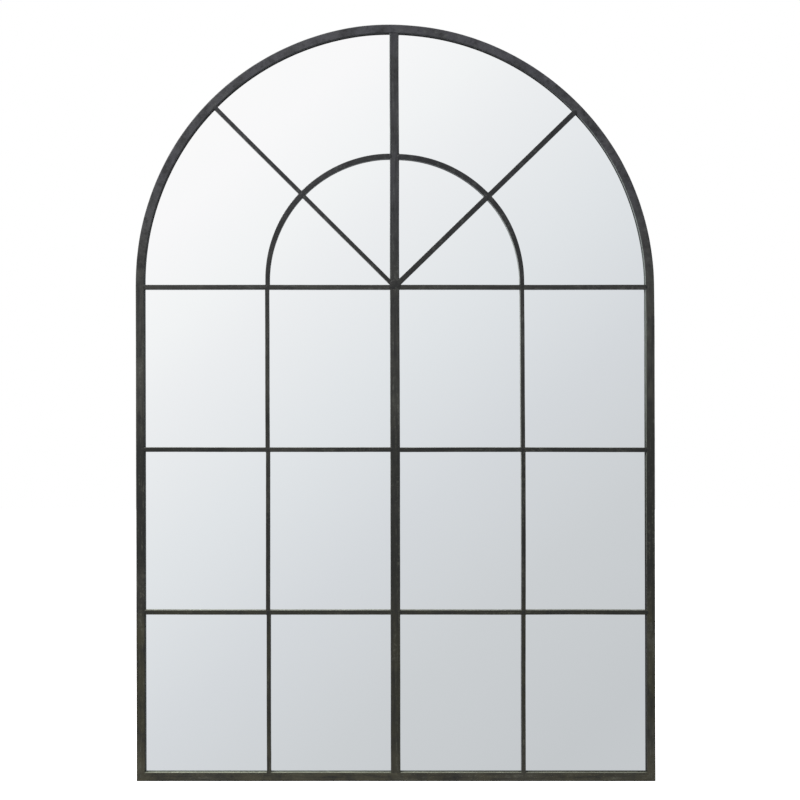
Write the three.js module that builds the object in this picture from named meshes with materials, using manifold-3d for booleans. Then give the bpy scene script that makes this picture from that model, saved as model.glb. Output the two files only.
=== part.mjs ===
// Arched window mirror: a welded grille of steel tube in front of one arched sheet of mirror.
// Millimetres, +Z up. The mirror faces -Y, so left is -X as seen from the front.
// The origin is the middle of the bottom rail's underside.

import * as THREE from 'three';
import { mergeVertices } from 'three/addons/utils/BufferGeometryUtils.js';
import Module from 'manifold-3d';

const wasm = await Module();
wasm.setup();

// ---------------------------------------------------------------- driving dimensions

// Outline: the arch is a half circle as wide as the frame.
const OVERALL_WIDTH = 1200;
const OVERALL_HEIGHT = 1750;

// Outer frame, a rectangular tube.
const FRAME_FACE = 20;
const FRAME_DEPTH = 25;
const FRAME_WALL = 1.5;
const FRAME_CORNER_EASE = 2;

// Grille in front of the glass, flush with the front of the frame.
const GRILLE_DEPTH = 10;
const MULLION_FACE = 20;
const BAR_FACE = 10;
const BAR_WALL = 1;
const BAR_CORNER_EASE = 1.2;
const PANE_ROWS = 3;
const FAN_ANGLE = 45;

// Root gap left for the weld at every butt joint, and the gap at every seat.
const WELD_GAP = 0.3;
const SEAT_GAP = 0.3;

// Mirror, its backing board and the blocks that it stands on.
const GLASS_THICKNESS = 4;
const GLASS_EDGE_GAP = 1.5;
const BOARD_THICKNESS = 3;
const BLOCK_THICKNESS = 2;
const BLOCK_LENGTH = 40;
const BLOCK_SPACING = 600;

// Stepped retaining clips, pressed onto the board from the back of the frame.
const CLIP_THICKNESS = 1.5;
const CLIP_WIDTH = 14;
const CLIP_MARGIN = 6;
const CLIP_REACH = 14;
const CLIP_EDGE_GAP = 1;
const LOWER_CLIP_HEIGHT = 260;
const UPPER_CLIP_DROP = 370;
const RAIL_CLIP_SPACING = 600;
const ARCH_CLIP_ANGLES = [30, 90, 150];

// Pan-head screws.
const SCREW_SHANK_RADIUS = 1.75;
const SCREW_HEAD_RADIUS = 3.5;
const SCREW_HEAD_HEIGHT = 2.2;
const SCREW_GRIP = 9;
const SCREW_HOLE_CLEARANCE = 0.3;

// Hanger straps and their D-rings.
const HINGE_DROP = 90;
const STRAP_THICKNESS = 1.5;
const STRAP_WIDTH = 10;
const STRAP_SCREW_DROPS = [34, 52];
const STRAP_END_MARGIN = 8;
const RING_WIRE_RADIUS = 1.5;
const RING_INSIDE_WIDTH = 13;
const RING_INSIDE_DROP = 16;
const RING_BEND_RADIUS = 2.5;
const RING_CLEARANCE = 0.3;

// Rubber bumpers, which keep the hangers clear of the wall.
const BUMPER_RADIUS = 7;
const BUMPER_CHAMFER = 1;
const WALL_CLEARANCE = 1;
const STILE_BUMPER_HEIGHT = 60;
const ARCH_BUMPER_ANGLES = [60, 120];

// Fineness of the round stretches.
const FRAME_ARCH_STEPS = 60;
const INNER_ARCH_STEPS = 20;
const SHEET_ARC_DIVISIONS = 30;
const ROUND_SIDES = 12;
const HOLE_SIDES = 8;
const WIRE_SIDES = 8;
const RING_STEPS = 36;

// ---------------------------------------------------------------- places worked out from them

const RIGHT_ANGLE = Math.PI / 2;
const radians = THREE.MathUtils.degToRad;

const ARCH_RADIUS = OVERALL_WIDTH / 2;
const SPRINGING = OVERALL_HEIGHT - ARCH_RADIUS;
const FRAME_CENTRE_RADIUS = ARCH_RADIUS - FRAME_FACE / 2;
const OPENING_RADIUS = ARCH_RADIUS - FRAME_FACE;

const FRAME_FRONT = -FRAME_DEPTH / 2;
const FRAME_REAR = FRAME_DEPTH / 2;
const GRILLE_CENTRE = FRAME_FRONT + GRILLE_DEPTH / 2;
const GLASS_REAR = FRAME_FRONT + GRILLE_DEPTH + SEAT_GAP + GLASS_THICKNESS;
const BOARD_REAR = GLASS_REAR + SEAT_GAP + BOARD_THICKNESS;

// The hangers and the upper clips hang from the springing line, the lower clips stand on the floor line.
const HINGE_HEIGHT = SPRINGING - HINGE_DROP;
const STILE_CLIP_HEIGHTS = [LOWER_CLIP_HEIGHT, SPRINGING - UPPER_CLIP_DROP];

const HALF_MULLION = MULLION_FACE / 2;
const PANE_WIDTH = (OPENING_RADIUS - HALF_MULLION - BAR_FACE) / 2;
const MUNTIN_OFFSET = HALF_MULLION + PANE_WIDTH + BAR_FACE / 2;
const ROW_PITCH = (SPRINGING - FRAME_FACE) / PANE_ROWS;
const PANE_HEIGHT = ROW_PITCH - BAR_FACE;

const KNUCKLE_BORE_RADIUS = RING_WIRE_RADIUS + RING_CLEARANCE;
const KNUCKLE_RADIUS = KNUCKLE_BORE_RADIUS + STRAP_THICKNESS;
const STRAP_FRONT = FRAME_REAR + SEAT_GAP;
const STRAP_REAR = STRAP_FRONT + STRAP_THICKNESS;
const HINGE_DEPTH = STRAP_FRONT + KNUCKLE_RADIUS;
const HANGER_REAR = HINGE_DEPTH + KNUCKLE_RADIUS;

const SIDES = [
  { side: 'left', sign: -1 },
  { side: 'right', sign: 1 },
];

// ---------------------------------------------------------------- materials

const BLACKENED_STEEL = new THREE.MeshStandardMaterial({ color: 0x45433f, roughness: 0.6, metalness: 0.5 });
const MIRROR_SILVER = new THREE.MeshStandardMaterial({ color: 0xe4e8ea, roughness: 0.03, metalness: 1 });
const HARDBOARD = new THREE.MeshStandardMaterial({ color: 0x7b6249, roughness: 0.85, metalness: 0 });
const ZINC_PLATE = new THREE.MeshStandardMaterial({ color: 0xb4b7b6, roughness: 0.35, metalness: 0.9 });
const BLACK_RUBBER = new THREE.MeshStandardMaterial({ color: 0x1d1d1c, roughness: 0.9, metalness: 0 });

// ---------------------------------------------------------------- solids

function solidOf(geometry) {
  const bare = geometry.clone();
  bare.deleteAttribute('normal');
  bare.deleteAttribute('uv');
  const merged = mergeVertices(bare, 1e-4);
  return new wasm.Manifold(new wasm.Mesh({
    numProp: 3,
    vertProperties: new Float32Array(merged.attributes.position.array),
    triVerts: new Uint32Array(merged.index.array),
  }));
}

function geometryOf(solid) {
  const mesh = solid.getMesh();
  const geometry = new THREE.BufferGeometry();
  geometry.setAttribute('position', new THREE.BufferAttribute(mesh.vertProperties, 3));
  geometry.setIndex(new THREE.BufferAttribute(mesh.triVerts, 1));
  geometry.computeVertexNormals();
  return geometry;
}

// Takes each of the tools, closed geometries, out of a geometry.
function cut(geometry, tools) {
  const body = tools.reduce((rest, tool) => rest.subtract(solidOf(tool)), solidOf(geometry));
  return geometryOf(body);
}

// A round cutter along Y through the stretch between two depths.
function screwHole(x, z, fromDepth, toDepth) {
  const radius = SCREW_SHANK_RADIUS + SCREW_HOLE_CLEARANCE;
  const cutter = new THREE.CylinderGeometry(radius, radius, toDepth - fromDepth, HOLE_SIDES);
  cutter.translate(x, (fromDepth + toDepth) / 2, z);
  return cutter;
}

// A screw hole through the rear wall of an outer frame tube.
function frameHole(x, z) {
  return screwHole(x, z, FRAME_REAR - 2 * FRAME_WALL, FRAME_REAR + FRAME_WALL);
}

function named(name, geometry, material) {
  const mesh = new THREE.Mesh(geometry, material);
  mesh.name = name;
  return mesh;
}

// ---------------------------------------------------------------- sections and curves

// The four corners of a rectangle, anticlockwise. Eased corners are cut off at 45 degrees.
function rectangle(width, height, ease = 0) {
  const x = width / 2;
  const y = height / 2;
  const corners = [[x, y], [-x, y], [-x, -y], [x, -y]];
  return corners.flatMap(([cornerX, cornerY], i) => {
    const acrossFirst = i % 2 === 0;
    const alongX = new THREE.Vector2(cornerX - Math.sign(cornerX) * ease, cornerY);
    const alongY = new THREE.Vector2(cornerX, cornerY - Math.sign(cornerY) * ease);
    const eased = acrossFirst ? [alongY, alongX] : [alongX, alongY];
    return ease > 0 ? eased : [alongX];
  });
}

// A tube's cross-section: eased corners outside, square inside.
function tubeSection(width, height, wall, ease) {
  const section = new THREE.Shape(rectangle(width, height, ease));
  section.holes.push(new THREE.Path(rectangle(width - 2 * wall, height - 2 * wall)));
  return section;
}

// A flat outline stood upright in the XZ plane.
class UprightCurve extends THREE.Curve {
  constructor(outline) {
    super();
    this.outline = outline;
  }

  getPoint(t, target = new THREE.Vector3()) {
    const point = this.outline.getPoint(t);
    return target.set(point.x, 0, point.y);
  }
}

// An arc round the arch's centre that starts at the springing line, on the right or the left.
function archCurve(radius, fromAngle, toAngle) {
  const arc = new THREE.Path();
  arc.absarc(0, SPRINGING, radius, fromAngle, toAngle, toAngle < fromAngle);
  return new UprightCurve(arc);
}

// ---------------------------------------------------------------- tubes

// A straight tube along +Z from one height to another. Each end may be mitred: it is then longer or
// shorter by its slope times the distance across the face.
function straightTube(section, from, to, fromSlope = 0, toSlope = 0) {
  const options = { depth: to - from, bevelEnabled: false };
  const tube = new THREE.ExtrudeGeometry(section, options);
  tube.translate(0, 0, from);
  const position = tube.attributes.position;
  const middle = (from + to) / 2;
  for (let i = 0; i < position.count; i += 1) {
    const slope = position.getZ(i) < middle ? fromSlope : toSlope;
    position.setZ(i, position.getZ(i) + slope * position.getX(i));
  }
  return tube;
}

// A tube bent along an arc that starts upright. The section's width lies through the depth.
function bentTube(section, curve, steps) {
  return new THREE.ExtrudeGeometry(section, { extrudePath: curve, steps, bevelEnabled: false });
}

function barSection() {
  return tubeSection(BAR_FACE, GRILLE_DEPTH, BAR_WALL, BAR_CORNER_EASE);
}

function frameSection() {
  return tubeSection(FRAME_FACE, FRAME_DEPTH, FRAME_WALL, FRAME_CORNER_EASE);
}

// ---------------------------------------------------------------- outer frame

function bottomRail() {
  const end = ARCH_RADIUS - FRAME_FACE / 2;
  const holes = [-1, 1].map((sign) => frameHole(0, sign * RAIL_CLIP_SPACING / 2));
  const rail = named('bottom_rail', cut(straightTube(frameSection(), -end, end, -1, 1), holes), BLACKENED_STEEL);
  rail.position.z = FRAME_FACE / 2;
  rail.rotation.y = RIGHT_ANGLE;
  return rail;
}

function stile({ side, sign }) {
  const foot = FRAME_FACE / 2 + WELD_GAP * Math.SQRT2;
  const strapHoles = STRAP_SCREW_DROPS.map((drop) => HINGE_HEIGHT - drop);
  const holes = [...STILE_CLIP_HEIGHTS, ...strapHoles].map((height) => frameHole(0, height));
  const tube = straightTube(frameSection(), foot, SPRINGING - WELD_GAP, -sign);
  const mesh = named(`${side}_stile`, cut(tube, holes), BLACKENED_STEEL);
  mesh.position.x = sign * FRAME_CENTRE_RADIUS;
  return mesh;
}

function archPoint(radius, angle) {
  return { x: radius * Math.cos(angle), z: SPRINGING + radius * Math.sin(angle) };
}

function frameArch() {
  const section = tubeSection(FRAME_DEPTH, FRAME_FACE, FRAME_WALL, FRAME_CORNER_EASE);
  const tube = bentTube(section, archCurve(FRAME_CENTRE_RADIUS, 0, Math.PI), FRAME_ARCH_STEPS);
  const places = ARCH_CLIP_ANGLES.map((angle) => archPoint(FRAME_CENTRE_RADIUS, radians(angle)));
  return named('frame_arch', cut(tube, places.map(({ x, z }) => frameHole(x, z))), BLACKENED_STEEL);
}

// ---------------------------------------------------------------- grille

function centreMullion() {
  const section = tubeSection(MULLION_FACE, GRILLE_DEPTH, BAR_WALL, BAR_CORNER_EASE);
  const crown = SPRINGING + Math.sqrt(OPENING_RADIUS ** 2 - HALF_MULLION ** 2) - WELD_GAP;
  const mullion = named('centre_mullion', straightTube(section, FRAME_FACE + WELD_GAP, crown), BLACKENED_STEEL);
  mullion.position.y = GRILLE_CENTRE;
  return mullion;
}

// The height of the middle of a cross bar. The top row's upper edge is on the springing line.
function crossBarHeight(row) {
  return FRAME_FACE + row * ROW_PITCH - BAR_FACE / 2;
}

function crossBar({ side, sign }, row) {
  const near = HALF_MULLION + WELD_GAP;
  const far = OPENING_RADIUS - WELD_GAP;
  const bar = named(`${side}_cross_bar_${row}`, straightTube(barSection(), near, far), BLACKENED_STEEL);
  bar.position.set(0, GRILLE_CENTRE, crossBarHeight(row));
  bar.rotation.y = sign * RIGHT_ANGLE;
  return bar;
}

function muntin({ side, sign }, row) {
  const top = crossBarHeight(row) - BAR_FACE / 2 - WELD_GAP;
  const bottom = top + WELD_GAP - PANE_HEIGHT + WELD_GAP;
  const bar = named(`${side}_muntin_${row}`, straightTube(barSection(), bottom, top), BLACKENED_STEEL);
  bar.position.set(sign * MUNTIN_OFFSET, GRILLE_CENTRE, 0);
  return bar;
}

function innerArch({ side, sign }) {
  const inside = MUNTIN_OFFSET - BAR_FACE / 2;
  const foot = Math.asin(WELD_GAP / inside);
  const top = Math.acos((HALF_MULLION + WELD_GAP) / inside);
  const fromAngle = sign > 0 ? foot : Math.PI - foot;
  const toAngle = sign > 0 ? top : Math.PI - top;
  const section = tubeSection(GRILLE_DEPTH, BAR_FACE, BAR_WALL, BAR_CORNER_EASE);
  const tube = bentTube(section, archCurve(MUNTIN_OFFSET, fromAngle, toAngle), INNER_ARCH_STEPS);
  const arch = named(`${side}_inner_arch`, tube, BLACKENED_STEEL);
  arch.position.y = GRILLE_CENTRE;
  return arch;
}

// The hub is where the mullion's centre line crosses the top cross bars' centre line, a little under the
// arch's centre. These are the distances along a fan bar from the hub to a circle round that centre, for
// the bar's centre line and for its outer edge.
const HUB_HEIGHT = crossBarHeight(PANE_ROWS);
const HUB_DROP = SPRINGING - HUB_HEIGHT;
const FAN_PITCH = radians(FAN_ANGLE);

function fanDistance(radius, acrossBar) {
  const along = HUB_DROP * Math.sin(FAN_PITCH);
  const across = HUB_DROP * Math.cos(FAN_PITCH) + acrossBar;
  return along + Math.sqrt(radius ** 2 - across ** 2);
}

function fanBar({ side, sign }, name, tube) {
  const bar = named(`${side}_fan_bar_${name}`, tube, BLACKENED_STEEL);
  bar.position.set(0, GRILLE_CENTRE, HUB_HEIGHT);
  bar.rotation.y = sign * (RIGHT_ANGLE - FAN_PITCH);
  return bar;
}

// A block on one side of a plane through a fan bar. In the bar's own frame, +Z along the bar, the plane
// is a given distance from the hub and faces the given angle from the bar's direction.
function beyondPlane(distance, angle) {
  const size = 4 * (MULLION_FACE + BAR_FACE);
  const block = new THREE.BoxGeometry(size, size, size);
  block.translate(0, 0, distance - size / 2);
  block.rotateY(angle);
  return block;
}

function innerFanBar({ side, sign }) {
  const end = fanDistance(MUNTIN_OFFSET - BAR_FACE / 2, BAR_FACE / 2) - WELD_GAP;
  const mullionFace = beyondPlane(HALF_MULLION + WELD_GAP, sign * FAN_PITCH);
  const crossBarTop = beyondPlane(BAR_FACE / 2 + WELD_GAP, sign * (FAN_PITCH - RIGHT_ANGLE));
  const tube = cut(straightTube(barSection(), 0, end), [mullionFace, crossBarTop]);
  return fanBar({ side, sign }, 'inner', tube);
}

function outerFanBar({ side, sign }) {
  const start = fanDistance(MUNTIN_OFFSET + BAR_FACE / 2, 0) + WELD_GAP;
  const end = fanDistance(OPENING_RADIUS, BAR_FACE / 2) - WELD_GAP;
  return fanBar({ side, sign }, 'outer', straightTube(barSection(), start, end));
}

// ---------------------------------------------------------------- mirror and backing

// An arched sheet that fills the frame's opening, less the edge gap and the setting blocks' thickness.
function archedSheet(name, thickness, rear, material) {
  const radius = OPENING_RADIUS - GLASS_EDGE_GAP;
  const outline = new THREE.Shape();
  outline.moveTo(-radius, FRAME_FACE + BLOCK_THICKNESS + 2 * SEAT_GAP);
  outline.lineTo(radius, FRAME_FACE + BLOCK_THICKNESS + 2 * SEAT_GAP);
  outline.absarc(0, SPRINGING, radius, 0, Math.PI);
  outline.closePath();
  const options = { depth: thickness, curveSegments: SHEET_ARC_DIVISIONS, bevelEnabled: false };
  const sheet = named(name, new THREE.ExtrudeGeometry(outline, options), material);
  sheet.position.y = rear;
  sheet.rotation.x = RIGHT_ANGLE;
  return sheet;
}

// A block under the lower edges of the glass and the board.
function settingBlock({ side, sign }) {
  const depth = GLASS_THICKNESS + SEAT_GAP + BOARD_THICKNESS;
  const block = named(`${side}_setting_block`, new THREE.BoxGeometry(BLOCK_LENGTH, depth, BLOCK_THICKNESS), BLACK_RUBBER);
  block.position.set(sign * BLOCK_SPACING / 2, BOARD_REAR - depth / 2, FRAME_FACE + SEAT_GAP + BLOCK_THICKNESS / 2);
  return block;
}

// ---------------------------------------------------------------- screws and clips

// A pan-head screw along Y, with the underside of its head at depth 0 and its tip towards -Y.
function screw(name) {
  const shoulder = SCREW_HEAD_HEIGHT / 2;
  const point = SCREW_SHANK_RADIUS;
  const profile = [
    new THREE.Vector2(0, -SCREW_GRIP),
    new THREE.Vector2(SCREW_SHANK_RADIUS, point - SCREW_GRIP),
    new THREE.Vector2(SCREW_SHANK_RADIUS, 0),
    new THREE.Vector2(SCREW_HEAD_RADIUS, 0),
    new THREE.Vector2(SCREW_HEAD_RADIUS, shoulder),
    new THREE.Vector2(SCREW_HEAD_RADIUS - shoulder, SCREW_HEAD_HEIGHT),
    new THREE.Vector2(0, SCREW_HEAD_HEIGHT),
  ];
  return named(name, new THREE.LatheGeometry(profile, HOLE_SIDES), ZINC_PLATE);
}

// A stepped plate: a foot on the frame's rear face, a riser beside the tube and a tongue on the board.
// Local X points from the frame's inner edge into the opening.
function clipPlate(name) {
  const foot = FRAME_REAR + SEAT_GAP;
  const tongue = BOARD_REAR + SEAT_GAP;
  const riser = CLIP_EDGE_GAP + CLIP_THICKNESS;
  const profile = new THREE.Shape();
  profile.moveTo(-FRAME_FACE / 2 - CLIP_MARGIN, foot);
  profile.lineTo(CLIP_EDGE_GAP, foot);
  profile.lineTo(CLIP_EDGE_GAP, tongue);
  profile.lineTo(riser + CLIP_REACH, tongue);
  profile.lineTo(riser + CLIP_REACH, tongue + CLIP_THICKNESS);
  profile.lineTo(riser, tongue + CLIP_THICKNESS);
  profile.lineTo(riser, foot + CLIP_THICKNESS);
  profile.lineTo(-FRAME_FACE / 2 - CLIP_MARGIN, foot + CLIP_THICKNESS);
  profile.closePath();
  const plate = new THREE.ExtrudeGeometry(profile, { depth: CLIP_WIDTH, bevelEnabled: false });
  plate.translate(0, 0, -CLIP_WIDTH / 2);
  const hole = screwHole(-FRAME_FACE / 2, 0, foot - CLIP_THICKNESS, foot + 2 * CLIP_THICKNESS);
  return named(name, cut(plate, [hole]), ZINC_PLATE);
}

// A clip with its screw, at a point of the frame's inner edge, turned to reach in the given direction.
function clipAt(place, x, z, inwardX, inwardZ) {
  const clip = new THREE.Group();
  const fixing = screw(`${place}_clip_screw`);
  fixing.position.set(-FRAME_FACE / 2, FRAME_REAR + SEAT_GAP + CLIP_THICKNESS + SEAT_GAP, 0);
  clip.add(clipPlate(`${place}_clip`), fixing);
  clip.position.set(x, 0, z);
  clip.rotation.y = Math.atan2(-inwardZ, inwardX);
  return clip;
}

function stileClips({ side, sign }) {
  return STILE_CLIP_HEIGHTS.map((height, i) => clipAt(`${side}_stile_${i + 1}`, sign * OPENING_RADIUS, height, -sign, 0));
}

function railClip({ side, sign }) {
  return clipAt(`${side}_rail`, sign * RAIL_CLIP_SPACING / 2, FRAME_FACE, 0, 1);
}

function archClips() {
  return ARCH_CLIP_ANGLES.map((degrees, i) => {
    const angle = radians(degrees);
    const { x, z } = archPoint(OPENING_RADIUS, angle);
    return clipAt(`arch_${i + 1}`, x, z, -Math.cos(angle), -Math.sin(angle));
  });
}

// ---------------------------------------------------------------- hangers

// A strap whose upper end curls round the D-ring's straight side. The profile lies in the YZ plane.
function strapPlate(name) {
  const bottom = -Math.max(...STRAP_SCREW_DROPS) - STRAP_END_MARGIN;
  const meeting = -Math.acos((STRAP_THICKNESS - KNUCKLE_RADIUS) / KNUCKLE_RADIUS);
  const profile = new THREE.Shape();
  profile.moveTo(-KNUCKLE_RADIUS, bottom);
  profile.lineTo(-KNUCKLE_RADIUS, 0);
  profile.absarc(0, 0, KNUCKLE_RADIUS, Math.PI, meeting, true);
  profile.lineTo(STRAP_THICKNESS - KNUCKLE_RADIUS, bottom);
  profile.closePath();
  const bore = new THREE.Path();
  bore.absarc(0, 0, KNUCKLE_BORE_RADIUS, 0, 2 * Math.PI);
  profile.holes.push(bore);
  const plate = new THREE.ExtrudeGeometry(profile, { depth: STRAP_WIDTH, curveSegments: ROUND_SIDES / 2, bevelEnabled: false });
  plate.translate(0, 0, -STRAP_WIDTH / 2);
  plate.rotateX(RIGHT_ANGLE);
  plate.rotateZ(RIGHT_ANGLE);
  const depths = [-KNUCKLE_RADIUS - STRAP_THICKNESS, -KNUCKLE_RADIUS + 2 * STRAP_THICKNESS];
  const holes = STRAP_SCREW_DROPS.map((drop) => screwHole(0, -drop, ...depths));
  return named(name, cut(plate, holes), ZINC_PLATE);
}

// The ring's centre line: a straight side on the hinge axis, two bends and a round end below.
function ringOutline() {
  const half = RING_INSIDE_WIDTH / 2 + RING_WIRE_RADIUS;
  const roundCentre = half - RING_INSIDE_DROP - 2 * RING_WIRE_RADIUS;
  const outline = new THREE.Path();
  outline.moveTo(0, 0);
  outline.lineTo(half - RING_BEND_RADIUS, 0);
  outline.absarc(half - RING_BEND_RADIUS, -RING_BEND_RADIUS, RING_BEND_RADIUS, RIGHT_ANGLE, 0, true);
  outline.lineTo(half, roundCentre);
  outline.absarc(0, roundCentre, half, 0, Math.PI, true);
  outline.lineTo(-half, -RING_BEND_RADIUS);
  outline.absarc(RING_BEND_RADIUS - half, -RING_BEND_RADIUS, RING_BEND_RADIUS, Math.PI, RIGHT_ANGLE, true);
  outline.closePath();
  return outline;
}

// The hanger's own origin is on the hinge axis.
function hanger({ side, sign }) {
  const wire = new THREE.TubeGeometry(new UprightCurve(ringOutline()), RING_STEPS, RING_WIRE_RADIUS, WIRE_SIDES, true);
  const group = new THREE.Group();
  group.add(strapPlate(`${side}_hanger_strap`), named(`${side}_d_ring`, wire, ZINC_PLATE));
  STRAP_SCREW_DROPS.forEach((drop, i) => {
    const fixing = screw(`${side}_hanger_screw_${i + 1}`);
    fixing.position.set(0, STRAP_REAR + SEAT_GAP - HINGE_DEPTH, -drop);
    group.add(fixing);
  });
  group.position.set(sign * FRAME_CENTRE_RADIUS, HINGE_DEPTH, HINGE_HEIGHT);
  return group;
}

// ---------------------------------------------------------------- bumpers

function bumper(name, x, z) {
  const height = HANGER_REAR + WALL_CLEARANCE - FRAME_REAR - SEAT_GAP;
  const profile = [
    new THREE.Vector2(0, 0),
    new THREE.Vector2(BUMPER_RADIUS, 0),
    new THREE.Vector2(BUMPER_RADIUS, height - BUMPER_CHAMFER),
    new THREE.Vector2(BUMPER_RADIUS - BUMPER_CHAMFER, height),
    new THREE.Vector2(0, height),
  ];
  const mesh = named(name, new THREE.LatheGeometry(profile, ROUND_SIDES), BLACK_RUBBER);
  mesh.position.set(x, FRAME_REAR + SEAT_GAP, z);
  return mesh;
}

function archBumpers() {
  return ARCH_BUMPER_ANGLES.map((degrees, i) => {
    const { x, z } = archPoint(FRAME_CENTRE_RADIUS, radians(degrees));
    return bumper(`arch_bumper_${i + 1}`, x, z);
  });
}

// ---------------------------------------------------------------- assembly

function sidePieces(placed) {
  const rows = Array.from({ length: PANE_ROWS }, (_, i) => i + 1);
  return [
    stile(placed),
    ...rows.map((row) => crossBar(placed, row)),
    ...rows.map((row) => muntin(placed, row)),
    innerArch(placed),
    innerFanBar(placed),
    outerFanBar(placed),
    settingBlock(placed),
    ...stileClips(placed),
    railClip(placed),
    hanger(placed),
    bumper(`${placed.side}_stile_bumper`, placed.sign * FRAME_CENTRE_RADIUS, STILE_BUMPER_HEIGHT),
  ];
}

const windowMirror = new THREE.Group();
windowMirror.add(
  bottomRail(),
  frameArch(),
  centreMullion(),
  archedSheet('mirror_glass', GLASS_THICKNESS, GLASS_REAR, MIRROR_SILVER),
  archedSheet('backing_board', BOARD_THICKNESS, BOARD_REAR, HARDBOARD),
  ...archClips(),
  ...archBumpers(),
  ...SIDES.flatMap(sidePieces),
);

export default windowMirror;
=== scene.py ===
"""Arched window mirror: finished pieces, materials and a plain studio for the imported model."""

import math

import bmesh
import bpy
from bpy.props import FloatProperty, FloatVectorProperty, IntProperty, PointerProperty
from mathutils import Matrix, Vector, noise


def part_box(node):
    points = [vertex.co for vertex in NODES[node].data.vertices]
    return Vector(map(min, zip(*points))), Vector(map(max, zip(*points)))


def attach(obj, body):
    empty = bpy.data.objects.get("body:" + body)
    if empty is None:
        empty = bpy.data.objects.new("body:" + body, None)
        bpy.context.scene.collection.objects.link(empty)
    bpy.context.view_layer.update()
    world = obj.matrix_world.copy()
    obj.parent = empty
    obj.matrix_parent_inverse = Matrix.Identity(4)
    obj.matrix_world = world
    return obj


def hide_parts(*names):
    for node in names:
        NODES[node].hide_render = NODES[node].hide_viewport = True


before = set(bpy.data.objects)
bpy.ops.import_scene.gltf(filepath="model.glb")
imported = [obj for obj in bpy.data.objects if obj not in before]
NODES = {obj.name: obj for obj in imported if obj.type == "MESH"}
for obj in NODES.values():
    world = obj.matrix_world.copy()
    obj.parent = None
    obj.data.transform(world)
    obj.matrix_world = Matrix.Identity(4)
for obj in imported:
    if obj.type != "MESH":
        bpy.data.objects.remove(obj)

bl_info = {
    "name": "Arched window mirror",
    "version": (1, 0, 0),
    "blender": (4, 5, 0),
    "location": "3D View > Sidebar > Window Mirror",
    "description": "Models an arched window mirror with a welded iron grille, and its studio",
    "category": "Add Mesh",
}

MM = 0.001
SIDES = (("left", -1.0), ("right", 1.0))
ROWS = (1, 2, 3)
QUARTER_TURN = math.pi / 2


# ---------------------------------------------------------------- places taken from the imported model

def low(node_name):
    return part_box(node_name)[0]


def high(node_name):
    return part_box(node_name)[1]


def middle_of(node_name):
    return (low(node_name) + high(node_name)) / 2


SPRINGING = low("frame_arch").z
OUTER_RADIUS = high("frame_arch").x
FRAME_FACE = high("bottom_rail").z
OPENING_RADIUS = OUTER_RADIUS - FRAME_FACE
FRAME_FRONT = low("frame_arch").y
FRAME_DEPTH = high("frame_arch").y - FRAME_FRONT
GRILLE_REAR = high("centre_mullion").y
GRILLE_DEPTH = GRILLE_REAR - FRAME_FRONT
GRILLE_MIDDLE = (FRAME_FRONT + GRILLE_REAR) / 2
GLASS_FRONT = low("mirror_glass").y
GLASS_REAR = high("mirror_glass").y
GLASS_RADIUS = high("mirror_glass").x
GLASS_FOOT = low("mirror_glass").z
HALF_MULLION = high("centre_mullion").x
BAR_FACE = high("left_cross_bar_1").z - low("left_cross_bar_1").z
HALF_BAR = BAR_FACE / 2
MUNTIN_OFFSET = middle_of("right_muntin_1").x
CROSS_BAR_HEIGHTS = [middle_of(f"left_cross_bar_{row}").z for row in ROWS]
HUB_HEIGHT = CROSS_BAR_HEIGHTS[-1]
ARCH_CENTRE = Vector((0.0, 0.0, SPRINGING))

# ---------------------------------------------------------------- how the real frame departs from true

# How far the hand-bent arch strays outwards from its circle, in millimetres, at degrees round from the right.
ARCH_STRAYS = (
    (0, -0.9), (15, -1.3), (30, -0.5), (50, -1.0), (85, -0.5), (100, 1.5), (140, 2.0), (165, 0.7), (180, 0.0))
# How far below the springing line the arch's strays fade out.
FADE_BELOW = 100 * MM
# The height about which the frame leans, as a share of the springing line's.
LEAN_CENTRE = 0.757
# How far each muntin's foot and head stand to the right of their line, in millimetres, from the lowest row.
MUNTIN_STRAYS = {
    "left": ((0.8, 0.9), (-0.4, 0.2), (-0.8, -1.2)),
    "right": ((0.3, 0.6), (0.8, 1.0), (0.0, -0.6)),
}
# The inner arch's face as a multiple of a bar's, and how far in its right-hand foot stands.
ARCH_STOUTNESS = 1.22
RIGHT_FOOT_IN = 1.2 * MM
# How much flatter the right-hand fan bar lies, and how high it sits.
RIGHT_FAN_TURN = math.radians(0.95)
RIGHT_FAN_RISE = 1.3 * MM
# Fixes the noise by which bars wander, which the clock would seed otherwise.
WANDER_SEED = 1


def fan_angle(side):
    """A fan bar's angle from the upright, from its outer length's place."""
    middle = middle_of(f"{side}_fan_bar_outer")
    return math.atan2(abs(middle.x), middle.z - HUB_HEIGHT)


FAN_ANGLES = {sign: fan_angle(side) + (1.0 + sign) / 2 * RIGHT_FAN_TURN for side, sign in SIDES}


# ---------------------------------------------------------------- sizes and colours that a user would change

def length(name, description, default, smallest=0.0, largest=1.0):
    return FloatProperty(
        name=name, description=description, default=default, min=smallest, max=largest, unit="LENGTH")


def share(name, description, default, smallest, largest):
    return FloatProperty(name=name, description=description, default=default, min=smallest, max=largest)


def tone(name, description, *default):
    return FloatVectorProperty(name=name, description=description, subtype="COLOR", size=3, default=default)


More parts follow.
